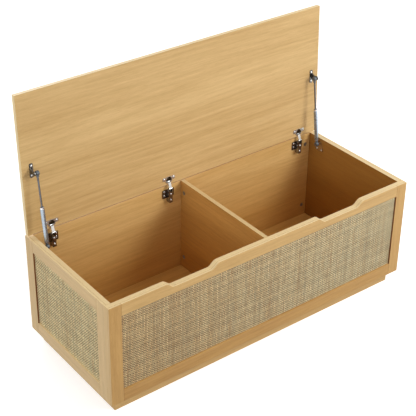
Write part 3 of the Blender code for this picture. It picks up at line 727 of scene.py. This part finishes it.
@dataclass(frozen=True)
class CaneFinish:
    """Natural rattan strands in a plain weave, with painted shade that may darken and warm it towards the
    sheet's low end.
    """

    name: str
    face: Face
    pitch_across: float = 0.00485
    pitch_up: float = 0.00442
    pale: Colour = (216, 202, 164)
    tan: Colour = (196, 164, 118)
    grey: Colour = (170, 162, 132)
    brown: Colour = (140, 94, 62)
    gap: Colour = (92, 66, 40)
    # painted shade multiplied in towards the sheet's low end, fading out over the span below
    painted_falloff_shade: Colour = (255, 255, 255)
    shade_falloff: tuple[float, float] = (-0.50, 0.45)
    relief: tuple[float, float] = (0.7, 1.0 * MILLIMETRE)
    sheen: float = 0.25

    def material(self, groups: Groups) -> bpy.types.Material:
        """Make the material.

        Args:
            groups: the shared node groups.

        Returns:
            The material.
        """
        made, net, shader, place = start_material(self.name)
        x, y, z = net.split(place)
        across = x if self.face is Face.FRONT else y
        group = net.group(
            groups.weave, Across=across, Up=z, Pitch_Across=self.pitch_across, Pitch_Up=self.pitch_up,
            Pale=light_of(self.pale), Tan=light_of(self.tan), Grey=light_of(self.grey),
            Brown=light_of(self.brown), Gap=light_of(self.gap),
        )
        wire(net, shader, group, *self.relief)
        # painted shade: light falling off towards the sheet's low end
        share = net.remap(across, *self.shade_falloff, 1.0, 0.0)
        shade_falloff = net.blend(share, group.outputs["Color"], light_of(self.painted_falloff_shade), "MULTIPLY")
        net.feed(shader.inputs["Base Color"], shade_falloff)
        net.feed(shader.inputs["Specular IOR Level"], self.sheen)
        return made


@dataclass(frozen=True)
class MetalFinish:
    """Plated, ground or cast metal with light handling marks."""

    name: str
    tone: Colour
    gloss: tuple[float, float]
    metallic: float = 1.0
    relief: tuple[float, float] = (0.08, 0.1 * MILLIMETRE)

    def material(self, groups: Groups) -> bpy.types.Material:
        """Make the material.

        Args:
            groups: the shared node groups.

        Returns:
            The material.
        """
        made, net, shader, place = start_material(self.name)
        low, high = self.gloss
        group = net.group(groups.wear, Place=place, Tone=light_of(self.tone), Gloss_Low=low, Gloss_High=high)
        wire(net, shader, group, *self.relief)
        net.feed(shader.inputs["Metallic"], self.metallic)
        return made


def paint(material: bpy.types.Material, *nodes: str) -> None:
    """Give a material to CAD nodes.

    Args:
        material: the material.
        nodes: the nodes' names.
    """
    for name in nodes:
        for slot in frame["nodes"][name].material_slots:
            slot.material = material


def put(name: str, data: bpy.types.ID) -> bpy.types.Object:
    """Put an object in the scene.

    Args:
        name: the object's name.
        data: its mesh, lamp or camera.

    Returns:
        The object.
    """
    made = bpy.data.objects.new(name, data)
    bpy.context.scene.collection.objects.link(made)
    return made


def mesh_of(name: str, shape: bmesh.types.BMesh) -> bpy.types.Mesh:
    """Turn a finished shape into a mesh.

    Args:
        name: the mesh's name.
        shape: the shape, which is freed.

    Returns:
        The mesh.
    """
    mesh = bpy.data.meshes.new(name)
    shape.to_mesh(mesh)
    shape.free()
    return mesh


def lathe(
    name: str, profile: list[tuple[float, float]], sides: int = 48, crease: float = math.radians(32)
) -> bpy.types.Mesh:
    """Turn a profile into a smooth mesh about +Z.

    Args:
        name: the mesh's name.
        profile: its (radius, height) points in order.
        sides: how many steps it takes round.
        crease: the angle from which an edge stays sharp.

    Returns:
        The mesh.
    """
    shape = bmesh.new()
    points = [shape.verts.new((radius, 0, height)) for radius, height in profile]
    edges = [shape.edges.new(pair) for pair in zip(points, points[1:])]
    bmesh.ops.spin(
        shape, geom=points + edges, cent=(0, 0, 0), axis=(0, 0, 1), angle=math.tau, steps=sides,
        use_merge=True,
    )
    bmesh.ops.remove_doubles(shape, verts=shape.verts, dist=1e-7)
    bmesh.ops.recalc_face_normals(shape, faces=shape.faces)
    mesh = mesh_of(name, shape)
    mesh.shade_smooth()
    mesh.set_sharp_from_angle(angle=crease)
    return mesh


def piece(name: str, mesh: bpy.types.Mesh, place: Matrix, body: str) -> bpy.types.Object:
    """Put a mesh in the scene as a piece that moves with a body.

    Args:
        name: the piece's name.
        mesh: its mesh.
        place: where it lies in the world.
        body: the CAD body that it rides on.

    Returns:
        The piece.
    """
    made = put(name, mesh)
    made.matrix_world = place
    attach(made, body)
    return made


@dataclass(frozen=True)
class CupFinish(MetalFinish):
    """Bright plating on a hinge cup, with painted shade in the part that lies within the lid."""

    face: Vector = Vector()
    outward: Vector = Vector()
    # painted shade in the cup's recess inside the lid, where the bright plating lies in shade
    painted_hollow_shade: Colour = (92, 74, 52)
    proud: float = 0.2 * MILLIMETRE

    def material(self, groups: Groups) -> bpy.types.Material:
        """Make the material.

        Args:
            groups: the shared node groups.

        Returns:
            The material.
        """
        made = super().material(groups)
        net = Net(made.node_tree)
        shader = made.node_tree.nodes["Principled BSDF"]
        plated = shader.inputs["Base Color"].links[0].from_socket
        place = net.vector("SUBTRACT", net.add("TexCoord").outputs["Object"], tuple(self.face))
        within = net.math("LESS_THAN", net.along(place, tuple(self.outward)), self.proud)
        # painted shade, not metallic, behind the lid's face
        net.feed(shader.inputs["Base Color"], net.blend(within, plated, light_of(self.painted_hollow_shade)))
        outside = net.math("SUBTRACT", 1.0, within)
        net.feed(shader.inputs["Metallic"], net.math("MULTIPLY", outside, self.metallic))
        return made


@dataclass
class Screw:
    """A pan-headed screw with a cross recess, its head's seat at the origin and its head along +Z."""

    finish: MetalFinish = MetalFinish("screw_zinc", (232, 232, 230), (0.18, 0.30), 0.9)
    head_radius: float = 3.6 * MILLIMETRE
    head_height: float = 2.0 * MILLIMETRE
    rim_share: float = 0.35
    dome_step: float = math.radians(15)
    dome_steps: int = 6
    sides: int = 32
    shank_radius: float = 1.7 * MILLIMETRE
    shank_length: float = 2.5 * MILLIMETRE
    recess_reach: float = 2.1 * MILLIMETRE
    recess_width: float = 0.75 * MILLIMETRE
    recess_depth: float = 1.1 * MILLIMETRE
    recess_root: float = 0.15 * MILLIMETRE
    recess_taper: tuple[float, float] = (0.45, 1.25)

    def build(self, groups: Groups) -> bpy.types.Mesh:
        """Build the mesh that every screw shares.

        Args:
            groups: the shared node groups.

        Returns:
            The mesh.
        """
        bulge = 1.0 - self.rim_share
        dome = [
            (
                self.head_radius * math.cos(step * self.dome_step),
                self.head_height * (self.rim_share + bulge * math.sin(step * self.dome_step)),
            )
            for step in range(self.dome_steps)
        ]
        profile = [(0, -self.shank_length), (self.shank_radius, -self.shank_length), (self.shank_radius, 0)]
        profile += [(self.head_radius, 0), *dome, (0, self.head_height)]
        head = put("screw", lathe("screw", profile, self.sides))
        cutters = [self.recess(turned) for turned in (False, True)]
        for cutter in cutters:
            step = head.modifiers.new("recess", "BOOLEAN")
            step.object = cutter
        bpy.context.view_layer.update()
        mesh = bpy.data.meshes.new_from_object(head.evaluated_get(bpy.context.evaluated_depsgraph_get()))
        for item in (head, *cutters):
            bpy.data.objects.remove(item)
        mesh.materials.clear()
        mesh.materials.append(self.finish.material(groups))
        return mesh

    def recess(self, turned: bool) -> bpy.types.Object:
        """Make one bar of the cross, tapering down.

        Args:
            turned: whether the bar runs along Y.

        Returns:
            The cutter.
        """
        shape = bmesh.new()
        heights = (self.head_height - self.recess_depth, self.head_height + MILLIMETRE)
        corners = ((-1, -1), (1, -1), (1, 1), (-1, 1))
        rings = []
        for height, share in zip(heights, self.recess_taper):
            long, short = self.recess_reach * share, self.recess_width * share / 2 + self.recess_root
            if turned:
                long, short = short, long
            rings.append([shape.verts.new((x * long, y * short, height)) for x, y in corners])
        shape.faces.new(rings[0][::-1])
        shape.faces.new(rings[1])
        for index in range(4):
            nxt = (index + 1) % 4
            shape.faces.new((rings[0][index], rings[0][nxt], rings[1][nxt], rings[1][index]))
        bmesh.ops.recalc_face_normals(shape, faces=shape.faces)
        return put("recess", mesh_of("recess", shape))


def joint(name: str) -> dict[str, Value]:
    """Look up one of the part's joints."""
    return next(entry for entry in frame["joints"] if entry["name"] == name)


def facing(place: Vector, way: Vector, turned: float = 0.0) -> Matrix:
    """Give the matrix that stands a screw or ring at a place, along a direction.

    Args:
        place: where it stands.
        way: where its +Z points.
        turned: how far it is turned about that direction, in degrees.

    Returns:
        The matrix.
    """
    spin = Matrix.Rotation(math.radians(turned), 4, "Z")
    return Matrix.Translation(place) @ way.to_track_quat("Z", "Y").to_matrix().to_4x4() @ spin


@dataclass
class Carcass:
    """The box: floor, walls, divider, and the boards of the plinth."""

    # painted light: a paler copy of the oak on the box's floor board, to look lit
    floor: WoodFinish = WoodFinish(
        "oak_floor", Grain.ACROSS_BENCH, (234, 186, 106), (208, 156, 80), 6.4, Edges.NONE
    )
    plinth: WoodFinish = WoodFinish("oak_plinth", Grain.ACROSS_BENCH, (214, 177, 118), (188, 147, 88), 9.3)
    plinth_ends: WoodFinish = WoodFinish(
        "oak_plinth_ends", Grain.FRONT_TO_BACK, (214, 177, 118), (188, 147, 88), 4.3
    )
    # painted shadow on the back board's top edge, in the seam under the lid, and painted shade multiplied
    # over the end boards' inner faces
    painted_shade: Colour = (166, 122, 72)
    ends: Colour = (195, 167, 110)

    def dress(self, groups: Groups) -> None:
        """Give the boards their veneer.

        Args:
            groups: the shared node groups.
        """
        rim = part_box("back_board")[1].z
        boards = {
            "front_board": InsideFinish(
                "oak_inside_front", Grain.ACROSS_BENCH, (222, 182, 118), (196, 152, 88), 8.2,
                end_tone=SIDE_LIT_TONE, rim=rim, inward=(0.0, 1.0, 0.0),
            ),
            # a paler copy of the oak for the back board, painted light; its top edge takes the painted shadow
            "back_board": InsideFinish(
                "oak_inside_back", Grain.ACROSS_BENCH, (230, 192, 129), (204, 162, 97), 3.1,
                edge_tone=self.painted_shade, rim=rim, inward=(0.0, -1.0, 0.0),
            ),
            "left_board": InsideFinish(
                "oak_inside_left", Grain.FRONT_TO_BACK, start=5.7,
                rim=rim, inward=(1.0, 0.0, 0.0), shade=self.ends,
            ),
            "right_board": InsideFinish(
                "oak_inside_right", Grain.FRONT_TO_BACK, start=7.9,
                rim=rim, inward=(-1.0, 0.0, 0.0), shade=self.ends,
            ),
            "divider_board": InsideFinish(
                "oak_divider", Grain.FRONT_TO_BACK, (209, 158, 86), (181, 130, 64), 2.2,
                # painted highlight on the divider's top edge
                edge_tone=(226, 201, 151), rim=rim,
            ),
        }
        for name, finish in boards.items():
            paint(finish.material(groups), name)
        paint(self.floor.material(groups), "bottom_board")
        paint(self.plinth.material(groups), "plinth_front", "plinth_back")
        paint(self.plinth_ends.material(groups), "plinth_left", "plinth_right")
        log.info("carcass and plinth dressed")


@dataclass
class FaceFrames:
    """The rails and stiles laid on the front and the sides."""

    top_rail: WoodFinish = WoodFinish(
        "oak_top_rail", Grain.ACROSS_BENCH, (222, 185, 126), (196, 155, 95), 1.3
    )
    # a darker copy of the oak on the bottom rail, painted shade for the lower front
    bottom_rail: WoodFinish = WoodFinish(
        "oak_bottom_rail", Grain.ACROSS_BENCH, (204, 160, 96), (176, 130, 67), 4.1, Edges.NONE
    )
    # a paler, greyer copy of the oak for the side frames, painted light for the whiter light from the left
    side_rails: WoodFinish = WoodFinish(
        "oak_side_rails", Grain.FRONT_TO_BACK, (226, 196, 148), (202, 170, 120), 2.9
    )

    def stiles(self, face: Face, light: Colour, dark: Colour, start: float) -> StileFinish:
        """Give the finish of the upright members beside one kind of sheet.

        Args:
            face: which way the sheet runs.
            light: the veneer's light tone.
            dark: the veneer's dark tone.
            start: where the grain is read from.

        Returns:
            The finish.
        """
        front = face is Face.FRONT
        low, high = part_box("front_rattan" if front else "left_rattan")
        opening = (low.x, high.x) if front else (low.y, high.y)
        name = f"oak_stiles_{face.name.lower()}"
        return StileFinish(
            name, Grain.UPRIGHT, light, dark, start,
            end_tone=SIDE_LIT_TONE if front else None, face=face, opening=opening,
        )

    def dress(self, groups: Groups) -> None:
        """Give the frames their veneer.

        Args:
            groups: the shared node groups.
        """
        paint(self.top_rail.material(groups), "front_top_rail")
        paint(self.bottom_rail.material(groups), "front_bottom_rail")
        side_rails = [f"{side}_{end}_rail" for side in SIDES for end in ("top", "bottom")]
        paint(self.side_rails.material(groups), *side_rails)
        side_stiles = [f"{side}_{end}_stile" for side in SIDES for end in ("front", "back")]
        # the side stiles get the same paler, greyer copy of the oak: painted light
        side = self.stiles(Face.SIDE, (226, 196, 148), (202, 170, 120), 7.7)
        # the front stiles get a darker copy of the oak: painted shade
        front = self.stiles(Face.FRONT, (211, 169, 107), (185, 141, 79), 8.6)
        paint(side.material(groups), *side_stiles)
        paint(front.material(groups), *[f"front_{side}_stile" for side in SIDES])
        log.info("face frames dressed")


@dataclass
class RattanPanels:
    """The woven sheets inside the face frames."""

    # a darker copy of the rattan's tones, painted shade for the front, with painted falloff shade towards its
    # left end
    front: CaneFinish = CaneFinish(
        "rattan_front", Face.FRONT, 0.00485, 0.00442,
        (202, 190, 158), (183, 153, 112), (160, 150, 127), (133, 87, 60), (85, 61, 39), (243, 229, 216),
    )
    side: CaneFinish = CaneFinish("rattan_side", Face.SIDE, 0.00442, 0.00488)

    def dress(self, groups: Groups) -> None:
        """Give the sheets their weave.

        Args:
            groups: the shared node groups.
        """
        paint(self.front.material(groups), "front_rattan")
        paint(self.side.material(groups), "left_rattan", "right_rattan")
        log.info("rattan panels dressed")


@dataclass
class Lid:
    """The lid, open, and the frame of places on it."""

    # pale edges all round: painted highlight, partly the cut edges' own paler tone
    finish: WoodFinish = WoodFinish("oak_lid", Grain.ACROSS_BENCH, start=12.1, edges=Edges.AROUND)
    angle: float = math.radians(92.5)
    thickness: float = 15 * MILLIMETRE

    def dress(self, groups: Groups) -> None:
        """Give the board its veneer.

        Args:
            groups: the shared node groups.
        """
        paint(self.finish.material(groups), "lid_board")
        log.info("lid dressed")

    def place(self, x: float, setback: float, depth: float) -> Vector:
        """Give the world point of a place on the open lid.

        Args:
            x: the place across the bench.
            setback: how far it lies from the lid's back edge.
            depth: how far it lies into the board from its underside.

        Returns:
            The point.
        """
        low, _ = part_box("lid_board")
        lean = self.angle - math.pi / 2
        edge = Vector((0.0, low.y, low.z + self.thickness * math.sin(lean)))
        return edge + Matrix.Rotation(-self.angle, 3, "X") @ Vector((x, -setback, depth))

    def outward(self) -> Vector:
        """Give the direction that the open lid's underside faces."""
        return Matrix.Rotation(-self.angle, 3, "X") @ Vector((0.0, 0.0, -1.0))


@dataclass
class Hinges:
    """The three concealed hinges and their screws."""

    lid: Lid
    bright: MetalFinish = MetalFinish("hinge_nickel", (222, 221, 217), (0.18, 0.30), 0.9)
    # a darker copy of the hinge nickel for arms and plates, painted shade for their place inside the box
    dark: MetalFinish = MetalFinish("hinge_dark_nickel", (152, 149, 144), (0.16, 0.28), 0.95)
    flange: float = 1.8 * MILLIMETRE
    cup_screw_setback: float = 22.5 * MILLIMETRE
    cup_screw_spread: float = 38.0 * MILLIMETRE
    plate_thickness: float = 2.0 * MILLIMETRE
    plate_screw_spread: float = 32.0 * MILLIMETRE
    plate_screw_drops: tuple[float, float] = (21.5 * MILLIMETRE, 35.5 * MILLIMETRE)
    arm_screw_drops: tuple[float, float] = (25.5 * MILLIMETRE, 48.0 * MILLIMETRE)
    arm_front: float = 2.8 * MILLIMETRE
    cup_turns: tuple[int, int] = (20, 70)
    plate_turns: tuple[tuple[int, int], ...] = ((0, 35), (70, 105))
    arm_turns: tuple[int, int] = (15, 55)

    def dress(self, groups: Groups, screw: bpy.types.Mesh) -> None:
        """Give the hinges their plating, and drive their screws.

        Args:
            groups: the shared node groups.
            screw: the screw's mesh.
        """
        cup = CupFinish(
            "cup_nickel", self.bright.tone, self.bright.gloss, 0.75,
            face=self.lid.place(0.0, 0.0, 0.0), outward=self.lid.outward(),
        )
        paint(cup.material(groups), *[f"hinge_{side}_cup" for side in HINGES])
        bright = [f"hinge_{side}_{part}" for side in HINGES for part in ("link", "pin")]
        # arms and plates take the darker copy of the nickel: painted shade
        dark = [f"hinge_{side}_{part}" for side in HINGES for part in ("arm", "plate")]
        paint(self.bright.material(groups), *bright)
        paint(self.dark.material(groups), *dark)
        for side in HINGES:
            self.drive(side, screw)
        log.info("hinges dressed, with %d screws", 8 * len(HINGES))

    def drive(self, side: str, screw: bpy.types.Mesh) -> None:
        """Drive one hinge's eight screws.

        Args:
            side: which hinge.
            screw: the screw's mesh.
        """
        low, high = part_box(f"hinge_{side}_plate")
        x = (low.x + high.x) / 2
        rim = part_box("back_board")[1].z
        pivot = joint("hinge_link_swing")["pos_m"]
        forward = Vector((0.0, -1.0, 0.0))
        for index, sign in enumerate(SIDES.values()):
            spot = self.lid.place(x + sign * self.cup_screw_spread / 2, self.cup_screw_setback, -self.flange)
            place = facing(spot, self.lid.outward(), self.cup_turns[index])
            piece(f"screw_cup_{side}_{index}", screw, place, "lid")
            for row, drop in enumerate(self.plate_screw_drops):
                across = x + sign * self.plate_screw_spread / 2
                spot = Vector((across, high.y - self.plate_thickness, rim - drop))
                place = facing(spot, forward, self.plate_turns[index][row])
                piece(f"screw_plate_{side}_{index}_{row}", screw, place, "cabinet")
        for row, drop in enumerate(self.arm_screw_drops):
            spot = Vector((x, pivot[1] - self.arm_front, rim - drop))
            place = facing(spot, forward, self.arm_turns[row])
            piece(f"screw_arm_{side}_{row}", screw, place, "cabinet")


@dataclass
class Struts:
    """The two gas struts with their collars, seals and bracket screws."""

    lid: Lid
    tube: MetalFinish = MetalFinish("strut_lacquer", (176, 190, 205), (0.22, 0.32), 0.85)
    rod: MetalFinish = MetalFinish("strut_rod_steel", (110, 109, 113), (0.18, 0.28))
    collar: MetalFinish = MetalFinish("strut_collar_chrome", (226, 226, 230), (0.10, 0.18))
    socket: MetalFinish = MetalFinish("strut_socket_grey", (96, 102, 108), (0.40, 0.52), 0.3)
    seal: MetalFinish = MetalFinish("strut_seal_rubber", (38, 36, 38), (0.60, 0.72), 0.0)
    bracket: MetalFinish = MetalFinish("bracket_nickel", (112, 110, 108), (0.24, 0.38))
    wall_bracket: MetalFinish = MetalFinish("wall_bracket_nickel", (184, 160, 130), (0.16, 0.26), 0.85)
    tube_radius: float = 7.0 * MILLIMETRE
    rod_radius: float = 3.0 * MILLIMETRE
    collar_height: float = 6.0 * MILLIMETRE
    collar_proud: float = 0.25 * MILLIMETRE
    collar_wall: float = 1.5 * MILLIMETRE
    collar_rise: float = 0.4 * MILLIMETRE
    collar_round: float = 0.6 * MILLIMETRE
    collar_groove: tuple[float, float, float] = (0.5, 0.62, 0.74)
    collar_lap: float = 0.1 * MILLIMETRE
    seal_gap: float = 0.1 * MILLIMETRE
    seal_reach: float = 1.6 * MILLIMETRE
    seal_sunk: float = 0.4 * MILLIMETRE
    seal_proud: float = 0.15 * MILLIMETRE
    lid_screw_spread: float = 32.0 * MILLIMETRE
    lid_screw_shift: float = 6.0 * MILLIMETRE
    lid_setback: float = 220.5 * MILLIMETRE
    lid_plate: float = 2.3 * MILLIMETRE
    wall_plate: float = 2.0 * MILLIMETRE
    wall_screw_spread: float = 23.0 * MILLIMETRE
    wall_screw_drop: float = 25.0 * MILLIMETRE
    lid_turns: tuple[int, int] = (25, 55)
    wall_turns: tuple[int, int] = (10, 55)

    def dress(self, groups: Groups, screw: bpy.types.Mesh) -> None:
        """Give the struts their finishes, and add collars, seals and screws.

        Args:
            groups: the shared node groups.
            screw: the screw's mesh.
        """
        finishes = {
            "tube": self.tube, "rod": self.rod, "tube_end": self.socket, "rod_end": self.socket,
            "lid_bracket": self.bracket, "wall_bracket": self.wall_bracket,
        }
        for part, finish in finishes.items():
            paint(finish.material(groups), *[f"strut_{side}_{part}" for side in SIDES])
        collar, seal = self.collar_mesh(groups), self.seal_mesh(groups)
        for side, sign in SIDES.items():
            self.ring(side, collar, seal)
            self.drive(side, sign, screw)
        log.info("struts dressed, with collars, seals and %d screws", 4 * len(SIDES))

    def collar_mesh(self, groups: Groups) -> bpy.types.Mesh:
        """Build the bright collar that closes the tube, its top at the origin.

        Args:
            groups: the shared node groups.

        Returns:
            The mesh.
        """
        outer, inner = self.tube_radius + self.collar_proud, self.tube_radius - self.collar_wall
        top, soft, low = self.collar_rise, self.collar_round, -self.collar_height
        above, floor, below = (low * share for share in self.collar_groove)
        profile = [
            (inner, top), (outer - soft, top), (outer, -soft / 2),
            (outer, above), (outer - soft / 2, floor), (outer, below), (outer, low),
            (self.tube_radius - self.collar_lap, low),
        ]
        mesh = lathe("strut_collar", profile)
        mesh.materials.append(self.collar.material(groups))
        return mesh

    def seal_mesh(self, groups: Groups) -> bpy.types.Mesh:
        """Build the dark ring that wipes the rod, let into the tube's end at the origin.

        Args:
            groups: the shared node groups.

        Returns:
            The mesh.
        """
        near, far = self.rod_radius + self.seal_gap, self.rod_radius + self.seal_reach
        sunk, proud = self.seal_sunk, self.seal_proud
        profile = [(near, -sunk), (far, -sunk), (far, proud / 2), (far - proud, proud), (near, proud)]
        mesh = lathe("strut_seal", profile)
        mesh.materials.append(self.seal.material(groups))
        return mesh

    def ring(self, side: str, collar: bpy.types.Mesh, seal: bpy.types.Mesh) -> None:
        """Set one strut's collar and seal on the end of its tube.

        Args:
            side: which strut.
            collar: the collar's mesh.
            seal: the seal's mesh.
        """
        foot = Vector(joint(f"strut_{side}_swing")["pos_m"])
        way = Vector(joint(f"strut_{side}_slide")["axis"]).normalized()
        tube = frame["nodes"][f"strut_{side}_tube"]
        top = max((vertex.co - foot).dot(way) for vertex in tube.data.vertices)
        for part, mesh in (("collar", collar), ("seal", seal)):
            place = facing(foot + way * top, way)
            piece(f"strut_{side}_{part}", mesh, place, f"strut_tube_{side}")

    def drive(self, side: str, sign: int, screw: bpy.types.Mesh) -> None:
        """Drive the screws of one strut's two brackets.

        Args:
            side: which strut.
            sign: -1 on the left, 1 on the right.
            screw: the screw's mesh.
        """
        foot = Vector(joint(f"strut_{side}_swing")["pos_m"])
        low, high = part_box(f"strut_{side}_wall_bracket")
        wall = (high.x if sign > 0 else low.x) - sign * self.wall_plate
        for index, way in enumerate(SIDES.values()):
            setback = self.lid_setback + way * self.lid_screw_spread / 2
            spot = self.lid.place(foot.x + sign * self.lid_screw_shift, setback, -self.lid_plate)
            place = facing(spot, self.lid.outward(), self.lid_turns[index])
            piece(f"screw_lid_bracket_{side}_{index}", screw, place, "lid")
            spot = Vector((wall, foot.y + way * self.wall_screw_spread / 2, foot.z - self.wall_screw_drop))
            place = facing(spot, Vector((-sign, 0.0, 0.0)), self.wall_turns[index])
            piece(f"screw_wall_bracket_{side}_{index}", screw, place, "cabinet")


@dataclass
class CamLocks:
    """The cast cams that draw the boards together."""

    finish: MetalFinish = MetalFinish("cam_zinc", (158, 148, 134), (0.42, 0.58), 0.6)

    def dress(self, groups: Groups) -> None:
        """Give the cams their cast finish.

        Args:
            groups: the shared node groups.
        """
        names = [name for name in frame["nodes"] if name.startswith("cam_")]
        paint(self.finish.material(groups), *names)
        log.info("%d cam locks dressed", len(names))


@dataclass(frozen=True)
class Softbox:
    """A square lamp that faces the bench."""

    name: str
    at: tuple[float, float, float]
    size: float
    power: float
    colour: tuple[float, float, float] = (1.0, 1.0, 1.0)
    target: tuple[float, float, float] = (0.0, 0.0, 0.4)

    def build(self) -> None:
        """Build the lamp."""
        lamp = bpy.data.lights.new(self.name, "AREA")
        lamp.energy = self.power
        lamp.size = self.size
        lamp.color = self.colour
        item = put(self.name, lamp)
        item.matrix_world = facing(Vector(self.at), Vector(self.at) - Vector(self.target))


@dataclass
class Studio:
    """Pale floor, plain soft light and the camera."""

    floor_half: float = 9.0
    floor_colour: Colour = (225, 225, 225)
    floor_glow: float = 0.62
    floor_bounce: Colour = (104, 98, 90)
    floor_roughness: float = 0.9
    sky_tone: tuple[float, float, float, float] = (1.0, 0.965, 0.90, 1.0)
    horizon: float = 1.16
    zenith: float = 0.26
    from_left: float = 1.30
    from_right: float = 0.70
    lamps: tuple[Softbox, ...] = (
        Softbox("key", (2.0, -2.9, 2.4), 1.6, 92.0, (0.98, 1.0, 1.0)),
        Softbox("fill", (-3.6, -0.6, 1.3), 2.0, 22.0, (0.90, 0.96, 1.0)),
        Softbox("rear", (0.5, 3.3, 1.7), 2.0, 42.0),
    )
    camera_place: tuple[float, float, float] = (-1.951, -2.4221, 2.325)
    camera_turn: tuple[float, float, float] = (math.radians(60.47), 0.0, math.radians(-36.24))
    lens: float = 97.18
    shift: tuple[float, float] = (0.0714, -0.106)

    def build(self) -> None:
        """Build the floor, the lights and the camera."""
        self.build_floor()
        self.build_world()
        for lamp in self.lamps:
            lamp.build()
        self.build_camera()
        bpy.context.scene.view_settings.view_transform = "Standard"
        log.info("studio built")

    def seen(self, net: Net) -> Socket:
        """Give 1 for rays that show a surface to the camera, straight or by gloss and glass.

        Args:
            net: the net of the material or world.

        Returns:
            The socket.
        """
        rays = net.add("LightPath").outputs
        return net.math(
            "MAXIMUM", rays["Is Camera Ray"],
            net.math("MAXIMUM", rays["Is Glossy Ray"], rays["Is Transmission Ray"]),
        )

    def build_floor(self) -> None:
        """Build the floor, white to the camera with the bench's shadow on it, and grey in what it bounces."""
        shape = bmesh.new()
        bmesh.ops.create_grid(shape, x_segments=4, y_segments=4, size=self.floor_half)
        mesh = mesh_of("floor", shape)
        floor = put("floor", mesh)
        made = bpy.data.materials.new("floor_paper")
        made.use_nodes = True
        net = Net(made.node_tree)
        shader = made.node_tree.nodes["Principled BSDF"]
        net.feed(shader.inputs["Roughness"], self.floor_roughness)
        net.feed(shader.inputs["Specular IOR Level"], 0.0)
        shown = self.seen(net)
        paper = net.blend(shown, light_of(self.floor_bounce), light_of(self.floor_colour))
        net.feed(shader.inputs["Base Color"], paper)
        net.feed(shader.inputs["Emission Color"], WHITE)
        net.feed(shader.inputs["Emission Strength"], net.math("MULTIPLY", shown, self.floor_glow))
        mesh.materials.append(made)

    def build_world(self) -> None:
        """Build the sky, brightest low down and on the left, which is white to the camera."""
        world = bpy.data.worlds.new("studio")
        bpy.context.scene.world = world
        world.use_nodes = True
        net = Net(world.node_tree)
        sky = world.node_tree.nodes["Background"]
        across, _, height = net.split(net.add("TexCoord").outputs["Generated"])
        glow = net.math(
            "MULTIPLY", net.remap(height, 0.0, 1.0, self.horizon, self.zenith),
            net.remap(across, -1.0, 1.0, self.from_left, self.from_right),
        )
        shown = self.seen(net)
        net.feed(sky.inputs["Color"], net.blend(shown, self.sky_tone, WHITE))
        dark = net.math("SUBTRACT", 1.0, shown)
        net.feed(sky.inputs["Strength"], net.math("ADD", shown, net.math("MULTIPLY", glow, dark)))

    def build_camera(self) -> None:
        """Build the camera at the photograph's angle."""
        data = bpy.data.cameras.new("camera")
        data.lens = self.lens
        data.shift_x, data.shift_y = self.shift
        camera = put("camera", data)
        camera.location = self.camera_place
        camera.rotation_euler = self.camera_turn
        bpy.context.scene.camera = camera


def main() -> None:
    """Build and dress the bench in order, then its studio."""
    logging.basicConfig(level=logging.INFO, format="%(name)s: %(message)s")
    groups = Groups()
    screw = Screw().build(groups)
    lid = Lid()
    Carcass().dress(groups)
    FaceFrames().dress(groups)
    RattanPanels().dress(groups)
    lid.dress(groups)
    Hinges(lid).dress(groups, screw)
    Struts(lid).dress(groups, screw)
    CamLocks().dress(groups)
    Studio().build()


if __name__ == "__main__":
    main()
